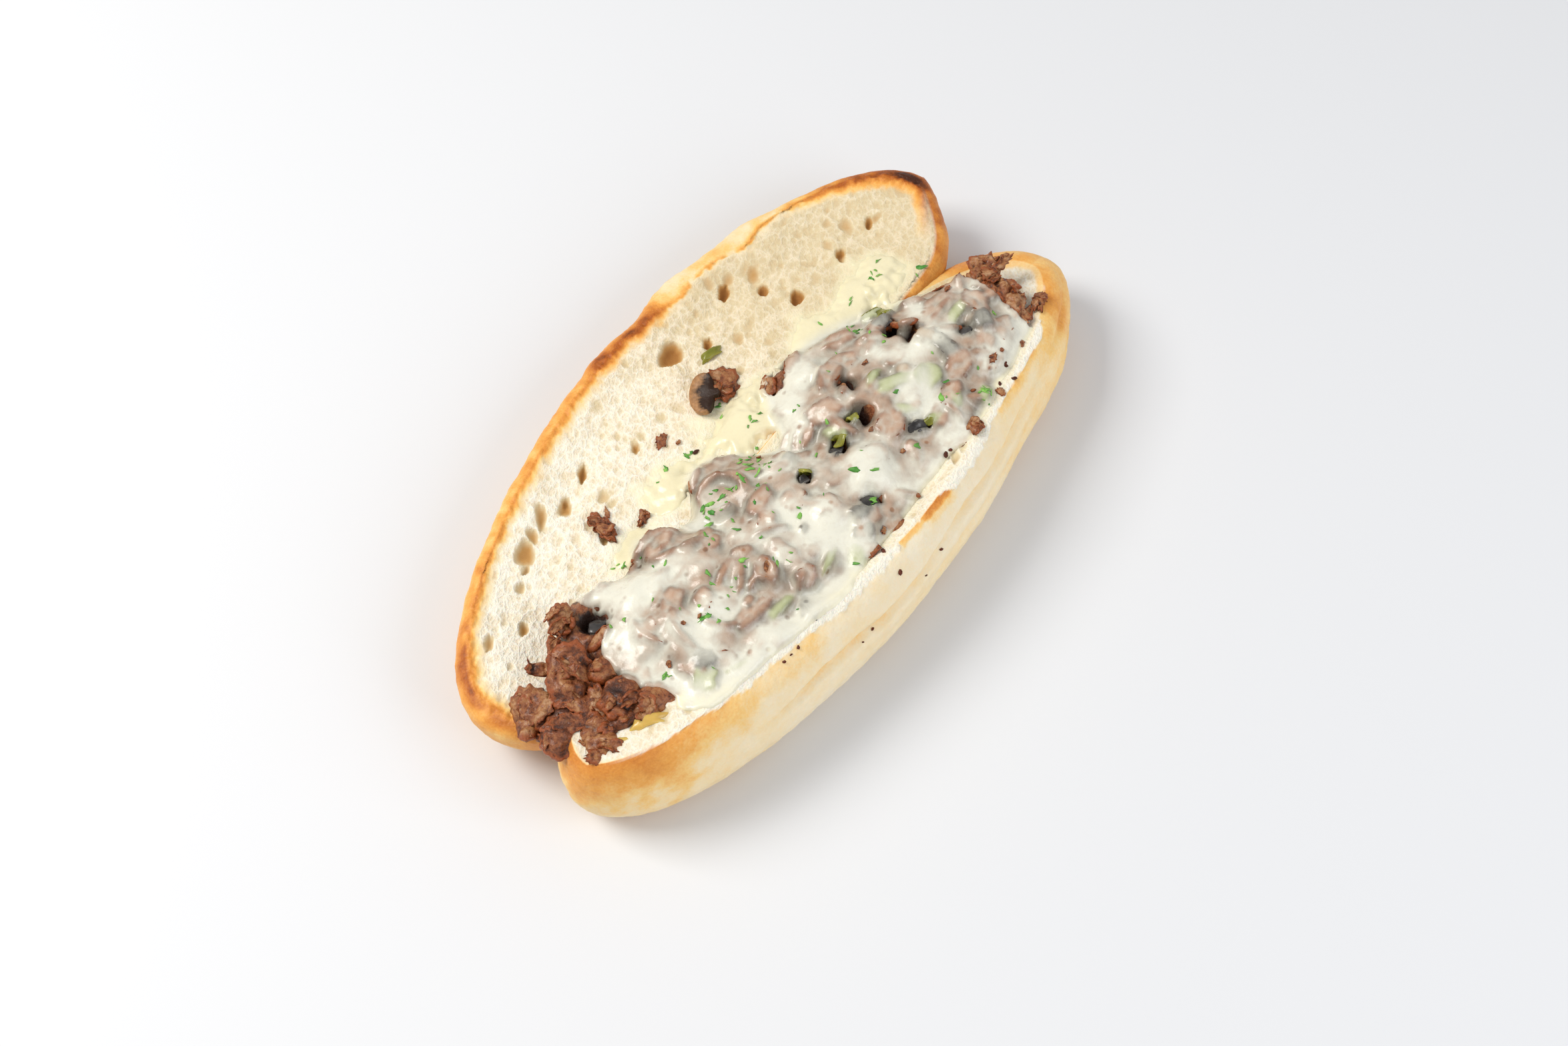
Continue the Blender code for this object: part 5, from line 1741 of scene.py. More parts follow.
@dataclass
class Cheese:
    """The melted cheese, draped over whatever lies below it."""

    heap: Heap = field(default_factory=Heap)
    low: Point = (-108.0, -78.0)
    high: Point = (112.0, 40.0)
    cell: float = 0.6
    thin: float = 0.28
    usual: float = 0.48
    solid_mm: float = 1.5  # a layer this thick hides what lies below
    edge_mm: float = 0.12  # how thick it is at its edge
    bury_mm: float = 1.2  # how far its underside lies within the food
    dark: Triple = (0.1, 0.05, 0.03)  # the linear colour where nothing lies below
    holes: tuple[tuple[float, ...], ...] = (
        (34.5, -13.5, 3.4, 2.8, 50), (24.8, -25.0, 5.0, 2.2, -35), (65.8, -12.6, 7.0, 1.9, 25),
        (76.8, -36.5, 3.2, 2.0, 20), (33.3, -44.8, 5.0, 1.5, -30), (10.3, -25.5, 4.0, 2.6, 20),
        (-6.1, -22.4, 3.2, 1.9, 30), (-1.2, -46.6, 4.2, 2.4, -25), (27.0, 12.0, 6.5, 3.0, 20),
        (73.0, -5.0, 3.4, 2.0, -10), (65.5, -21.5, 3.4, 1.4, 20), (-45.5, -33.0, 2.6, 0.8, 40),
        (-89.0, 7.6, 5.0, 4.2, 34),
    )
    pools: tuple[Pool, ...] = (
        Pool(-79, 5, 12, 9, 1.9), Pool(-72, -4, 10, 6, 0.9), Pool(-76, -50, 18, 6, 1.3),
        Pool(24, 4, 10, 8, 1.6), Pool(76, -15, 7, 6, 1.0), Pool(8, -40, 10, 12, 1.2),
        Pool(-26, -38, 12, 8, 1.1), Pool(-66, -27, 6, 6, 0.9), Pool(-28, 3, 4, 4, 0.9),
        Pool(-35, -58, 14, 6, 1.2), Pool(20, -56, 14, 6, 0.9), Pool(85, -52, 14, 5, 0.9),
        Pool(44, -18, 8, 4, 0.6), Pool(55, -30, 8, 6, 0.5), Pool(-92, -14, 6, 14, 0.7),
        Pool(-64, -14, 10, 4, 0.3), Pool(2, -29, 8, 5, 0.5), Pool(40, -56, 10, 5, 0.5),
        Pool(8, 12, 16, 10, 2.6), Pool(84, 7, 20, 9, 2.4), Pool(60, 12, 10, 8, 1.0),
        Pool(-28, 19, 10, 7, 1.0), Pool(-44, -56, 10, 6, 0.5), Pool(-80, -30, 6, 9, 0.8),
        Pool(35, -6, 13, 6, -0.7), Pool(27, -36, 8, 8, -0.5), Pool(-44, -9, 7, 6, -0.6),
        Pool(-60, -38, 11, 4, -0.7), Pool(-25, -15, 10, 5, -0.6), Pool(62, -45, 10, 7, -0.4),
        Pool(80, -24, 11, 6, -0.5), Pool(50, 0, 10, 6, -0.6), Pool(-24, 8, 8, 5, -0.7),
        Pool(-52, 6, 9, 6, -0.6), Pool(-72, -14, 8, 5, -0.5), Pool(-62, -30, 8, 4, -0.5),
        Pool(-96, 17, 7, 6, -0.9), Pool(14, -20, 9, 6, -0.7), Pool(-8, -18, 7, 6, -0.5),
        Pool(-30, -30, 8, 5, -0.4), Pool(-50, -22, 8, 4, -0.5),
    )

    def hole_gap(self, x: float, y: float, hole: tuple[float, ...]) -> float:
        """Give about how far a place lies outside a hole, negative inside it.

        Args:
            x, y: Place in millimetres.
            hole: Its x, y, half length, half width and turn.

        Returns:
            The distance in millimetres.
        """
        cx, cy, long_half, short_half, turn = hole
        dx, dy = x - cx, y - cy
        if dx * dx + dy * dy > (long_half + 8) ** 2:
            return 8.0
        angle = radians(turn)
        u = dx * cos(angle) + dy * sin(angle)
        v = dy * cos(angle) - dx * sin(angle)
        ragged = 1 + layered(x, y, 0, (0.5, 3.4, 9), (0.3, 1.5, 5))
        return (sqrt((u / long_half) ** 2 + (v / short_half) ** 2) - ragged) * short_half

    def over_heap(self, x: float, y: float) -> float:
        """Give how far a place lies inside the blanket on the heap.

        Args:
            x, y: Place in millimetres.

        Returns:
            The distance in millimetres.
        """
        base = self.heap.base
        s = min(abs(x - base.centre_x) / base.half_length, 1.0)
        wall = base.axis(x) - (29.2 - 2.2 * smooth(45, 85, x)) * sqrt(1 - s**2.2)
        wall += 1.5 * bump(x, 12, 12) - 5.5 * bump(x, -38, 12) - 1.0 * bump(x, 44, 12) + 1.5 * bump(x, 30, 6)
        low_end = x + 101 - 15 * smooth(-5, 4, y) - 7 * smooth(-38, -48, y) + 1.2 * sin(y / 4)
        low_end += 3.2 * rough(x, y, 0, 5, 2.7)
        high_end = 97 - x + 2.0 * sin(y / 6)
        return min(low_end, high_end, self.heap.leaf_side(x) + 1.0 - y, y - wall)

    def over_leaf(self, x: float, y: float) -> float:
        """Give how far a place lies inside the runs on the leaf's crumb."""
        return 11 * (soaked(x, y) - 0.52)

    def on_leaf(self, x: float, y: float) -> float:
        """Give how far a place lies over on the leaf's bread, from 0 to 1."""
        return smooth(-2, 5, y - self.heap.leaf_side(x))

    def on_wall(self, x: float, y: float) -> float:
        """Give how far a place lies over on the wall's bread, from 0 to 1."""
        return smooth(-3, 2, self.heap.wall_side(x) - y)

    def inside(self, x: float, y: float) -> float:
        """Give how far a place lies inside the cheese, negative where the food is bare.

        Args:
            x, y: Place in millimetres.

        Returns:
            The distance in millimetres.
        """
        wander = layered(x, y, 0, (2.0, 12, 3.3), (0.9, 5, 6.1), (0.4, 2, 2.1))
        cover = max(self.over_heap(x, y) + 0.7 * wander, self.over_leaf(x, y) + 0.5 * wander)
        return min([cover] + [self.hole_gap(x, y, hole) for hole in self.holes])

    def fill(self, rule: Callable[[float, float], float]) -> Field:
        """Work a rule out at every place of the cheese's grid.

        Args:
            rule: The rule, from x and y.

        Returns:
            The field.
        """
        columns = int((self.high[0] - self.low[0]) / self.cell) + 1
        rows = int((self.high[1] - self.low[1]) / self.cell) + 1
        values = np.zeros((rows, columns))
        for r in range(rows):
            for c in range(columns):
                values[r, c] = rule(self.low[0] + c * self.cell, self.low[1] + r * self.cell)
        return Field(self.low, self.cell, values)

    def amount(self, x: float, y: float) -> float:
        """Give how much cheese lies at a place, in millimetres, before it runs off the lumps.

        Args:
            x, y: Place in millimetres.

        Returns:
            The thickness in millimetres.
        """
        extra = sum(
            pool.extra * exp(-(((x - pool.x) / pool.reach_x) ** 2) - ((y - pool.y) / pool.reach_y) ** 2)
            for pool in self.pools
        )
        u, v = 0.5 * x - 0.86 * y, 0.86 * x + 0.5 * y
        strands = 0.45 * abs(rough(u * 0.18, v, 0, 1.6, 3.0))
        strands *= between(x, -78, -50, 8) * between(y, -58, -38, 5)
        wander = layered(x, y, 0, (1.5, 15, 7.7), (0.5, 6, 1.2))
        near = min(self.hole_gap(x, y, hole) for hole in self.holes)
        return max(self.usual + extra + strands + wander - 0.7 * (1 - smooth(0.5, 4.0, near)), 0.1)

    def drape(self, ground: Ground, tints: dict[str, Tint]) -> Shape:
        """Build the cheese.

        Args:
            ground: What it lies on.
            tints: For each layer of the ground, the linear colour of a face, with the steak's painted light
                and shade.

        Returns:
            The closed sheet, with how much it hides, what lies below and how far it lies on bread.
        """
        faces: dict[tuple[int, int], tuple[str, int]] = {}

        def look(x: float, y: float) -> float:
            """Give the height of what lies below, and note whose face it is.

            Args:
                x, y: Place in millimetres.

            Returns:
                The height in millimetres.
            """
            z, name, face = ground.hit(x, y)
            key = (round((x - self.low[0]) / self.cell), round((y - self.low[1]) / self.cell))
            faces[key] = (name, face)
            return z

        below = self.fill(look)
        inside = self.fill(self.inside)
        amount = self.fill(self.amount)
        spread = below.raised()
        level = below.blurred(1.2).values * 0.65 + below.blurred(3.0).values * 0.35
        top = np.maximum(spread.blurred(0.6).values + self.thin, level + amount.values)
        top = below.like(top).blurred(0.5).values
        top = np.maximum(top, spread.blurred(0.35).values + self.thin * 0.6)
        bread = self.fill(lambda x, y: max(self.on_leaf(x, y), self.on_wall(x, y))).values
        edge = np.clip(inside.values / (1.6 + 3.4 * bread), 0, 1)
        thickness = (top - below.values) * (np.sqrt(edge * (2 - edge)) * (1 - bread) + edge**1.5 * bread)
        colours = np.zeros((*below.values.shape, 3))
        for (c, r), (name, face) in faces.items():
            colours[r, c] = tints[name](face) if name else self.dark
        dent = np.clip((below.blurred(1.8).values - below.blurred(0.4).values) / 0.9, 0, 1)
        across, along = np.gradient(below.blurred(0.4).values, self.cell)
        steep = below.like(np.clip((np.hypot(across, along) - 0.55) / 0.9, 0, 1)).blurred(0.35).values
        shade = 1.15 - 0.9 * dent - 0.45 * steep * (1 - bread)
        tint = [below.like(colours[:, :, k] * np.clip(shade, 0.15, 2)).blurred(0.4) for k in range(3)]
        depth = below.like(thickness)
        here = np.clip(thickness / self.solid_mm, 0, 1)
        broad = np.clip((amount.values - 0.15) / 0.9, 0, 1)
        share = 0.62 * here + 0.40 * np.maximum(broad, 1.5 * bread)
        share -= 0.75 * steep * (1 - np.maximum(0.8 * broad, bread))
        hides = below.like(0.10 + 0.90 * np.clip(share, 0, 1)).blurred(0.3)
        return self.sheet(below, inside, depth, hides, tint)

    def sheet(self, below: Field, inside: Field, depth: Field, hides: Field, tint: list[Field]) -> Shape:
        """Build the closed sheet from the fields that say where it lies and what it shows.

        Args:
            below: How high the food below is.
            inside: How far inside the cheese.
            depth: How thick it is.
            hides: How far it hides what lies below.
            tint: Red, green and blue of what lies below, with painted shade in its dents and on its steep
                flanks.

        Returns:
            The sheet.
        """
        bm = bmesh.new()
        columns = int((self.high[0] - self.low[0]) / self.cell)
        rows = int((self.high[1] - self.low[1]) / self.cell)
        bmesh.ops.create_grid(bm, x_segments=columns, y_segments=rows, size=1)
        middle_x, middle_y = ((low + high) / 2 for low, high in zip(self.low, self.high))
        half_x, half_y = ((high - low) / 2 for low, high in zip(self.low, self.high))
        for vert in bm.verts:
            vert.co = (middle_x + half_x * vert.co.x, middle_y + half_y * vert.co.y, 0)
        bare = [face for face in bm.faces if inside.at(*face.calc_center_median().xy) < 0]
        bmesh.ops.delete(bm, geom=bare, context="FACES")
        while True:
            pinched = [vert for vert in bm.verts if sum(edge.is_boundary for edge in vert.link_edges) > 2]
            if not pinched:
                break
            gone = list({face for vert in pinched for face in vert.link_faces})
            bmesh.ops.delete(bm, geom=gone, context="FACES")
        probe, farthest = 0.4, 0.35
        for vert in [vert for vert in bm.verts if vert.is_boundary]:
            for _ in range(3):
                x, y = vert.co.xy
                here = inside.at(x, y)
                slope = Vector((inside.at(x + probe, y) - here, inside.at(x, y + probe) - here)) / probe
                if slope.length > 0.2:
                    step = -here * slope / slope.length_squared
                    step.length = min(step.length, farthest)
                    vert.co.xy += step
        cover, warm = float_layer(bm, "cover"), float_layer(bm, "warm")
        shade = bm.verts.layers.float_color.new("below")
        for vert in bm.verts:
            x, y = vert.co.xy
            bread = max(self.on_leaf(x, y), self.on_wall(x, y))
            lift = self.edge_mm if vert.is_boundary else max(depth.at(x, y), self.edge_mm)
            sunk = depth.at(x, y) - 0.45 * (1 - smooth(0.0, 3.0, inside.at(x, y)))
            vert.co.z = below.at(x, y) + lift * (1 - bread) + sunk * bread
            vert[cover] = hides.at(x, y)
            vert[shade] = (*(one.at(x, y) for one in tint), 1.0)
            vert[warm] = max(self.on_leaf(x, y), 0.5 * self.on_wall(x, y))
        made = bmesh.ops.extrude_face_region(bm, geom=list(bm.faces))["geom"]
        for vert in points(made):
            vert.co.z = below.at(*vert.co.xy) - self.bury_mm
        bmesh.ops.recalc_face_normals(bm, faces=bm.faces)
        return bm


# Garnish and loose pieces


@dataclass
class Garnish:
    """Chopped parsley and dark crumbs, each lying on what is below it."""

    seed: int = 41
    clusters: tuple[tuple[float, float, float, int], ...] = (
        (-71, -25, 2.5, 6), (-36, -1, 4, 9), (-30, -3, 5, 6), (-20, -5, 4, 6), (-57, -27, 3, 4),
        (-46, -9, 2, 4), (-10, 0, 3, 7), (-9, -9, 5, 9), (-4, -2, 3, 4), (16, -3, 2, 2), (-16, -9, 4, 6),
        (-20, -28, 2, 2), (60, -1, 2.5, 5), (56, -57, 3, 8), (-2, -49, 2, 4), (-38, -37, 2, 3),
        (-94, -26, 1.5, 5), (86, 8, 2, 4), (97, -6, 2, 3), (71, 9, 1.5, 2), (-64, 16, 4, 5),
        (-14, 24, 2, 4), (8, 28, 3, 4), (10, 10, 4, 3), (58, -12, 4, 3), (48, -45, 5, 3), (-60, -5, 12, 4),
    )
    scattered: int = 46
    scatter_low: Point = (-92, -56)
    scatter_high: Point = (98, 30)
    notches: int = 9
    thickness: float = 0.12
    lift: float = 0.16
    specks: tuple[Triple, ...] = (
        (-68.5, -55.5, 1.5), (-65.0, -56.0, 1.2), (-61.5, -56.5, 1.5), (-17.0, -68.5, 2.6), (2.5, -73.5, 1.6),
        (-36.0, -70.0, 1.3), (-8.0, -74.0, 1.0), (-42.0, -70.0, 0.9), (71.0, -61.0, 2.2), (74.0, -55.5, 1.7),
        (-15.5, -60.5, 2.0), (30.0, -57.5, 2.6), (32.5, -58.0, 1.8), (66.0, -58.0, 1.8), (62.5, -58.5, 1.4),
        (-10.3, 21.1, 2.4), (73.5, -56.0, 2.0),
    )

    def parsley(self, ground: Ground, allowed: Callable[[float, float], bool]) -> Shape:
        """Build the flakes: small bent leaves with a notched outline.

        Args:
            ground: What it lies on.
            allowed: Whether a scattered flake may lie at x and y.

        Returns:
            The flakes.
        """
        draw = random.Random(self.seed)
        places = [
            (draw.gauss(x, reach * 0.6), draw.gauss(y, reach * 0.6))
            for x, y, reach, count in self.clusters
            for _ in range(count)
        ]
        while len(places) < sum(item[3] for item in self.clusters) + self.scattered:
            x, y = (draw.uniform(*ends) for ends in zip(self.scatter_low, self.scatter_high))
            if allowed(x, y):
                places.append((x, y))
        bm = bmesh.new()
        tones = float_layer(bm, "tone")
        for x, y in places:
            length = 0.8 + 1.7 * draw.random() ** 1.8
            width = length * draw.uniform(0.25, 0.65)
            turns = (draw.uniform(0, 360), draw.gauss(0, 12), draw.gauss(0, 16))
            matrix = ground.laid(x, y, ground.height(x, y) + self.lift, 1.0, *turns)
            tone, bend = draw.uniform(-0.1, 0.5), draw.uniform(-0.7, 0.7)
            made = bmesh.ops.create_circle(bm, cap_ends=True, cap_tris=True, segments=self.notches, radius=1)
            rim = made["verts"]
            face_set = list({face for vert in rim for face in vert.link_faces})
            made = bmesh.ops.extrude_face_region(bm, geom=face_set)["geom"]
            upper = points(made)
            reaches = [draw.uniform(0.35, 1.15) for _ in range(self.notches)]
            for vert in rim + upper:
                a, b = vert.co.x, vert.co.y
                reach = reaches[round(atan2(b, a) / (2 * pi) * self.notches) % self.notches]
                up = (self.thickness if vert in upper else 0.0) + bend * (a * a - 0.3) * length * 0.35
                vert.co = matrix @ Vector((a * reach * length, b * reach * width, up))
                vert[tones] = tone
        bmesh.ops.recalc_face_normals(bm, faces=bm.faces)
        return bm

    def crumbs(self, ground: Ground) -> Shape:
        """Build the dark crumbs and scraps of crisped steak.

        Args:
            ground: What it lies on.

        Returns:
            The crumbs.
        """
        draw = random.Random(self.seed + 1)
        bm = bmesh.new()
        tones = float_layer(bm, "tone")
        for x, y, size in self.specks:
            made = bmesh.ops.create_icosphere(bm, subdivisions=3 if size > 2 else 2, radius=0.5)["verts"]
            matrix = place(x, y, ground.height(x, y) + 0.14 * size, draw.uniform(0, 180), draw.gauss(0, 15))
            seed, tone, slim = draw.uniform(0, 90), draw.uniform(0, 0.4), draw.uniform(0.5, 0.8)
            for vert in made:
                a, b, c = vert.co * 2
                ragged = 1 + 0.35 * rough(a, b, c, 0.8, seed) + 0.25 * rough(a, b, c, 0.35, seed + 3)
                vert.co = matrix @ (Vector((a, b * slim, c * 0.5)) * size / 2 * ragged)
                vert[tones] = tone
        return bm


@dataclass
class Strays:
    """Loose pieces of filling on the leaf's crumb and on the ends of the base."""

    steak: tuple[tuple[str, float, float, float, float, float, float], ...] = (
        ("stray_steak", 17.3, 29.2, 16, 13, 6.0, 20),
        ("stray_steak_low", -53.8, 30.5, 12.5, 8, 3.4, 70),
        ("stray_steak_high", 107.5, -50.5, 9.5, 5, 2.8, 20),
        ("stray_steak_mid", -43.2, 20.6, 6.5, 3.6, 2.2, 10),
        ("stray_steak_wall", 45.0, -59.5, 9, 6.5, 3.6, 60),
    )
    # Small torn bits of steak on the bread and on the cheese: x, y, length, width and turn.
    bits: tuple[tuple[float, float, float, float, float], ...] = (
        (-13.3, 34.1, 6.5, 3.6, 20), (-10.5, 28.5, 2.4, 1.2, 0), (-40.6, 21.5, 2.4, 1.4, 60),
        (-48.5, 32.5, 4, 2, 50), (91.0, -17.0, 6, 2.6, -70), (90.5, -21.0, 3, 1.6, 10),
        (71.5, -51.5, 4.6, 2.6, 10), (77.0, -52.0, 2, 1.6, 0), (86.0, -55.5, 3, 1.4, 20),
        (63.0, -60.5, 3.4, 2.6, 80), (-91.0, -25.0, 2.2, 1.8, 0), (-96.0, 19.5, 6, 3, 170),
        (45.0, -14.5, 2.6, 1.8, 0), (22.0, -31.5, 2, 1.8, 0), (21.5, -45.0, 1.8, 1.6, 0),
        (-8.0, -56.0, 3, 1.6, 20), (-72.5, -24.5, 1.6, 1.2, 0), (-5.0, -2.3, 2, 1, 0),
        (-78.0, -22.0, 1.8, 1.4, 0), (56.5, -52.5, 2, 1.5, 0),
    )
    mushroom_place: Point = (10.5, 31.0)
    mushroom_size: float = 16.0
    mushroom_thickness: float = 2.6
    pepper_place: Point = (27.2, 40.5)
    pepper_lift: float = 0.8
    pepper_form: tuple[float, ...] = (10, 3.6, -10, 0.0)  # length, width, turn and tilt
    seed: int = 53

    def scrap(
        self, ground: Ground, x: float, y: float, length: float, width: float, thickness: float, turn: float
    ) -> Shape:
        """Build one loose scrap of steak: a lump with smaller shreds on it.

        Args:
            ground: What it lies on.
            x, y: Place in millimetres.
            length, width, thickness: Its size in millimetres.
            turn: Its turn in degrees.

        Returns:
            The scrap.
        """
        draw = random.Random(int(length * 10 + width))
        bm = bmesh.new()
        large = length > 10
        rest = ground.laid(x, y, ground.height(x, y) + 0.32 * thickness, 3, turn)
        lump = Shaving(length, width, thickness * 0.7, -0.5, 1.0, 0.0, 3, 0.4, depth=0.9)
        lump.add_to(bm, rest, draw.uniform(0, 90), -0.05)
        for _ in range(4 if large else 2):
            size = length * draw.uniform(0.35, 0.6)
            a, b = draw.uniform(-0.3, 0.3) * length, draw.uniform(-0.3, 0.3) * width
            local = place(a, b, thickness * 0.25, draw.uniform(0, 180), draw.gauss(0, 20))
            shred = Shaving(size, size * 0.6, 1.2, draw.uniform(-0.9, 0.9), 0.5, 0.4, 2, 0.4)
            shred.add_to(bm, rest @ local, draw.uniform(0, 90), 0.05)
        Filling.fringe(bm, rest, (length, width, thickness), 9 if large else 3, draw)
        return bm

    def torn_bits(self, ground: Ground) -> Shape:
        """Build the small torn bits of steak.

        Args:
            ground: What it lies on.

        Returns:
            The bits.
        """
        draw = random.Random(self.seed)
        bm = bmesh.new()
        for x, y, length, width, turn in self.bits:
            rest = ground.laid(x, y, ground.height(x, y) + 0.35, 1.5, turn)
            bit = Shaving(length, width, 1.1, draw.uniform(-0.4, 0.4), 0.4, 0.2, 3, 0.55)
            bit.add_to(bm, rest, draw.uniform(0, 90), 0.05)
        return bm

    def mushroom(self, ground: Ground) -> Shape:
        """Build the slice of mushroom: a domed cap over dark gills and a short stem, cut through.

        Args:
            ground: What it lies on.

        Returns:
            The slice.
        """
        size, thickness = self.mushroom_size, self.mushroom_thickness
        steps = 18
        angles = [pi * i / steps for i in range(steps + 1)]
        outline = [(0.5 * cos(angle), 0.02 + 0.36 * sin(angle) ** 0.8) for angle in angles]
        gills_and_stem = [(-0.46, -0.10), (-0.34, -0.16), (-0.2, -0.18), (-0.1, -0.2), (-0.08, -0.3)]
        outline += [*gills_and_stem, (0.0, -0.34), *((-a, b) for a, b in reversed(gills_and_stem))]
        bm = bmesh.new()
        tones = float_layer(bm, "tone")
        face = bm.faces.new([bm.verts.new((x * size, y * size, -thickness / 2)) for x, y in outline])
        made = bmesh.ops.extrude_face_region(bm, geom=[face])["geom"]
        bmesh.ops.translate(bm, vec=(0, 0, thickness), verts=points(made))
        bmesh.ops.triangulate(bm, faces=bm.faces)
        bmesh.ops.subdivide_edges(bm, edges=bm.edges, cuts=3, use_grid_fill=True)
        bmesh.ops.recalc_face_normals(bm, faces=bm.faces)
        x, y = self.mushroom_place
        matrix = Matrix.Translation((x, y, ground.height(x, y) + 3.0)) @ place(0, 0, 0, 34, -6, -16)
        for vert in bm.verts:
            a, b = vert.co.x / size, vert.co.y / size
            cap = 0.02 + 0.36 * max(1 - 4 * a * a, 0) ** 0.4
            gills = 0.2 * sin(46 * a / (0.5 + abs(b)))
            vert[tones] = 0.42 - (0.9 + gills) * smooth(0.10, 0.36, cap - b + 0.1 * rough(a, b, 0, 0.2))
            vert.co.z += 0.9 * a * a * thickness + 0.3 * rough(vert.co.x, vert.co.y, 0, 4, 2.0)
            vert.co = matrix @ vert.co
        return bm


# Studio


@dataclass
class Studio:
    """The pale floor, the soft light and the camera."""

    lens: float = 50.0
    sensor: float = 36.0
    eye: Triple = (-334.3, -232.7, 686.5)
    look: Triple = (0.4160, 0.2774, -0.8660)
    floor_size: float = 6.0
    floor_gap: float = 0.0002
    floor_colour: str = "#e3e4e6"
    floor_roughness: float = 0.6
    # Each lamp's name, place, size in metres, watts and colour.
    lamps: tuple[tuple[str, Triple, float, float, str], ...] = (
        ("window", (-0.45, 0.85, 1.1), 0.7, 16.5, "#fffcf6"), ("fill", (0.1, -1.2, 0.8), 1.0, 8.5, "#fbfcff"),
    )
    sky_colour: str = "#f2f4f8"
    sky_strength: float = 0.50

    def camera(self) -> None:
        """Put the camera at the photograph's angle."""
        data = bpy.data.cameras.new("camera")
        data.lens, data.sensor_width = self.lens, self.sensor
        data.clip_end = 20.0
        camera = bpy.data.objects.new("camera", data)
        camera.location = Vector(self.eye) * MM
        camera.rotation_euler = Vector(self.look).to_track_quat("-Z", "Y").to_euler()
        bpy.context.scene.collection.objects.link(camera)
        bpy.context.scene.camera = camera

    def floor(self) -> None:
        """Lay a plain pale floor."""
        bm = bmesh.new()
        bmesh.ops.create_grid(bm, x_segments=1, y_segments=1, size=self.floor_size / 2)
        bmesh.ops.translate(bm, vec=(0, 0, -self.floor_gap), verts=bm.verts)
        mesh = bpy.data.meshes.new("floor")
        bm.to_mesh(mesh)
        bm.free()
        floor = bpy.data.objects.new("floor", mesh)
        material = bpy.data.materials.new("pale_paint")
        material.use_nodes = True
        shader = material.node_tree.nodes["Principled BSDF"]
        shader.inputs["Base Color"].default_value = linear(self.floor_colour)
        shader.inputs["Roughness"].default_value = self.floor_roughness
        mesh.materials.append(material)
        bpy.context.scene.collection.objects.link(floor)

    def light(self, name: str, place_m: Triple, size: float, watts: float, code: str) -> None:
        """Hang one soft square lamp that faces the sub.

        Args:
            name: Its name.
            place_m: Its place in metres.
            size: How wide it is, in metres.
            watts: Its power.
            code: The sRGB hex colour.
        """
        data = bpy.data.lights.new(name, "AREA")
        data.size, data.energy, data.color = size, watts, linear(code)[:3]
        lamp = bpy.data.objects.new(name, data)
        lamp.location = place_m
        lamp.rotation_euler = (Vector((0, 0, 0.02)) - Vector(place_m)).to_track_quat("-Z", "Y").to_euler()
        bpy.context.scene.collection.objects.link(lamp)

    def build(self) -> None:
        """Set the stage."""
        scene = bpy.context.scene
        scene.view_settings.view_transform = "Standard"
        scene.view_settings.look = "None"
        world = bpy.data.worlds.new("studio")
        world.use_nodes = True
        background = world.node_tree.nodes["Background"]
        background.inputs["Color"].default_value = linear(self.sky_colour)
        background.inputs["Strength"].default_value = self.sky_strength
        scene.world = world
        for lamp in self.lamps:
            self.light(*lamp)
        self.floor()
        self.camera()


# The colour that each layer below the cheese lends it where it is thin.
BELOW_COLOURS = {
    "leaf": "#f1e8c0", "base": "#f1e8c0", "PEPPER": "#a3ab76", "GREY_MUSHROOM": "#5f5e5a",
    "MUSHROOM": "#a88562", "ONION": "#e6d6a0",
}
STEAK_BELOW, SEARED_BELOW = "#9a6b4c", "#7d4122"


def face_colour(code: str) -> Tint:
    """Give a rule that colours every face of a layer alike."""
    colour = linear(code)[:3]
    return lambda face: colour


def steak_tint(bm: Shape) -> Tint:
    """Give a rule that colours each face of the steak by its tone and torn edge, with painted light on its
    lumps' tops and painted shade in its creases.

    Args:
        bm: The steak.

    Returns:
        The rule.
    """
    bm.faces.ensure_lookup_table()
    tones, edges, creases = (float_layer(bm, name) for name in ("tone", "edge", "crease"))
    flat, seared = linear(STEAK_BELOW), linear(SEARED_BELOW)

    def tint(number: int) -> Triple:
        """Give the linear colour of a face, by its number.

        Args:
            number: The face's number.

        Returns:
            The colour.
        """
        vert = bm.faces[number].verts[0]
        share = 0.8 * min(max(vert[edges], 0.0), 1.0)
        # The tone carries painted light on the lumps' tops, and the crease attribute painted shade in the
        # creases.
        level = (1 + 1.6 * vert[tones]) * (1 - 0.75 * min(max(vert[creases], 0.0), 1.0))
        return tuple(level * (a * (1 - share) + b * share) for a, b in zip(flat[:3], seared[:3]))

    return tint


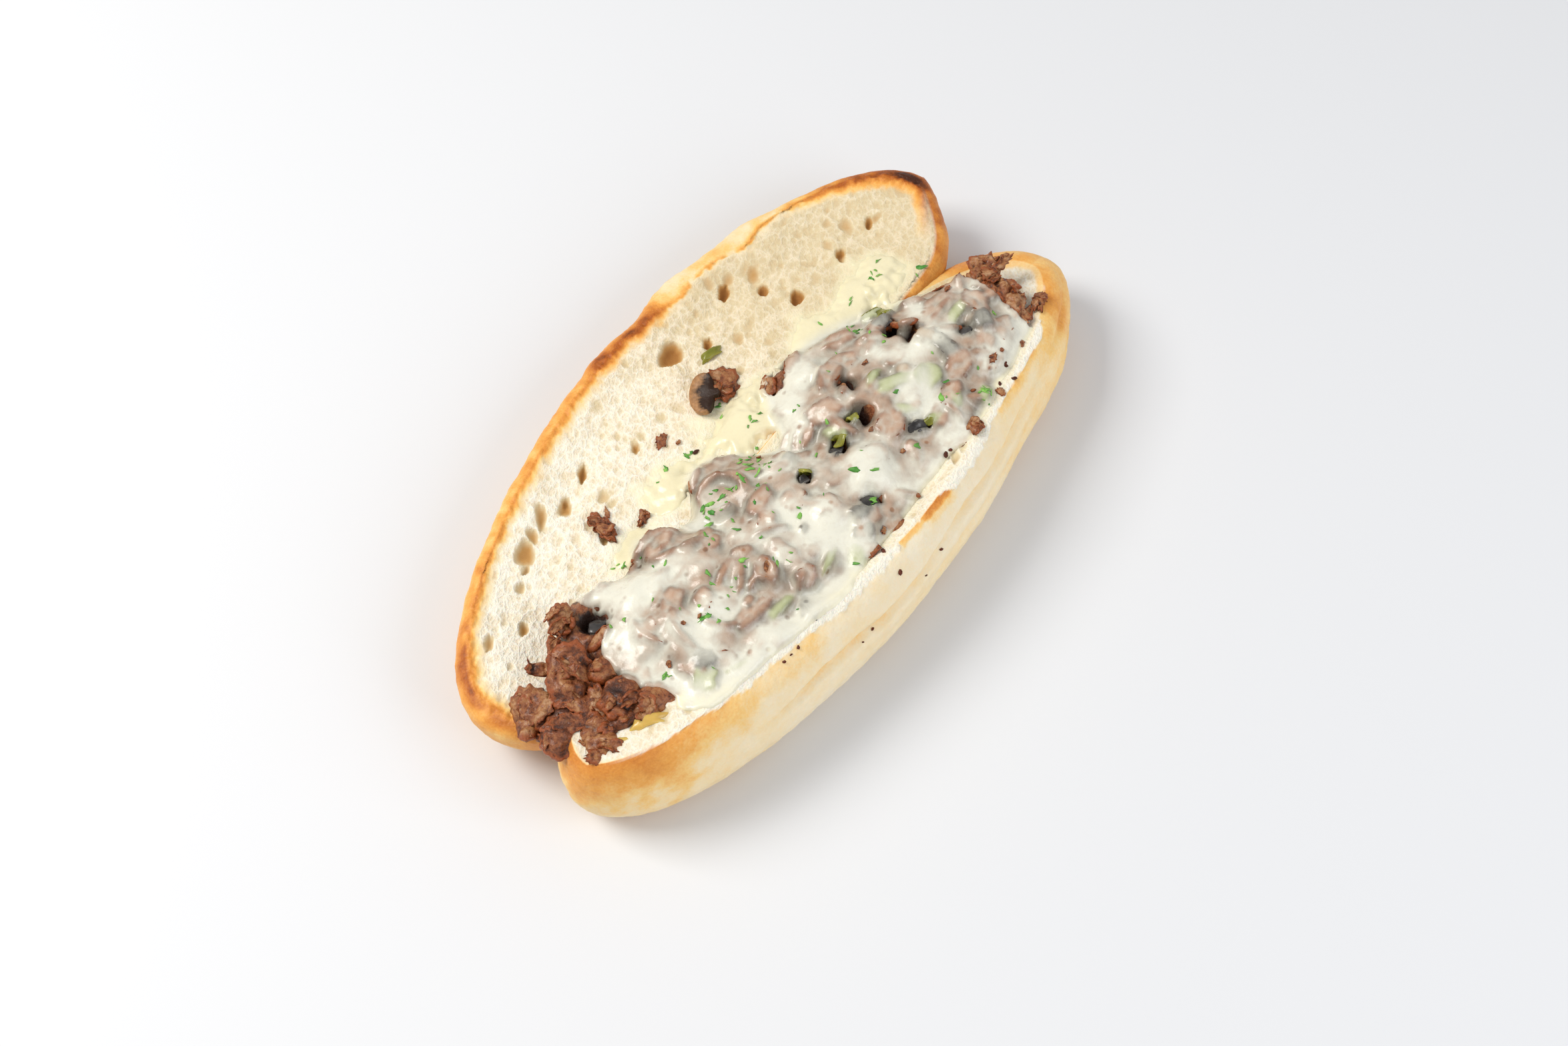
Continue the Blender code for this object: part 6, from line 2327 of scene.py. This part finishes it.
def main() -> None:
    """Load the solids, build every piece round them and set the stage."""
    logging.basicConfig(level=logging.INFO, format="%(message)s")
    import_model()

    leaf, base = Roll().build()
    bread = Ground([("leaf", leaf), ("base", base)])
    filling = Filling()
    core = filling.core()
    bed = Ground([("leaf", leaf), ("base", base), ("core", core)])
    buried = filling.buried_steak(bed)
    low_end = filling.bare_steak(LOW_END_STEAK, seed=3, tone=-0.06, fine=0.52)
    high_end = filling.bare_steak(HIGH_END_STEAK, seed=4, tone=0.05, fine=1.1)
    slices = {
        dress: filling.slices(filling.vegetable_rows(dress), bed)
        for dress in (Dress.PEPPER, Dress.GREY_MUSHROOM, Dress.MUSHROOM, Dress.ONION)
    }
    log.info("draping")
    steak = {
        "filling_core": core, "buried_steak": buried, "low_end_steak": low_end, "high_end_steak": high_end,
    }
    layers = [("leaf", leaf), ("base", base), *steak.items()]
    layers += [(dress.name, bm) for dress, bm in slices.items()]
    tints = {name: steak_tint(bm) for name, bm in steak.items()}
    tints |= {name: face_colour(code) for name, code in BELOW_COLOURS.items()}
    cheese_form = Cheese()
    cheese = cheese_form.drape(Ground(layers), tints)
    surface = Ground([("cheese", cheese), *layers])

    garnish = Garnish()
    flakes = garnish.parsley(surface, lambda x, y: cheese_form.inside(x, y) > 2)
    crumbs = garnish.crumbs(surface)
    strays = Strays()
    for name, *numbers in strays.steak:
        make_piece(name + "_scrap", strays.scrap(bread, *numbers), Dress.STEAK, [name])
    make_piece("torn_steak_bits", strays.torn_bits(surface), Dress.STEAK)
    make_piece("mushroom_slice", strays.mushroom(bread), Dress.MUSHROOM, ["stray_mushroom"])
    x, y = strays.pepper_place
    strip = filling.slices([(x, y, bread.height(x, y) + strays.pepper_lift, *strays.pepper_form)], bread)
    make_piece("pepper_strip", strip, Dress.PEPPER, ["stray_pepper"])

    make_piece("leaf_bread", leaf, Dress.BREAD, ["roll"])
    make_piece("base_bread", base, Dress.BREAD, ["roll"])
    for name, bm in steak.items():
        make_piece(name, bm, Dress.STEAK, ["steak_filling"])
    for dress, bm in slices.items():
        make_piece(dress.name.lower() + "_slices", bm, dress, ["steak_filling"])
    make_piece("cheese_blanket", cheese, Dress.CHEESE, ["melted_cheese"])
    make_piece("parsley_flakes", flakes, Dress.PARSLEY)
    make_piece("dark_crumbs", crumbs, Dress.CHAR)
    Studio().build()

    bpy.context.view_layer.update()


if __name__ == "__main__":
    main()
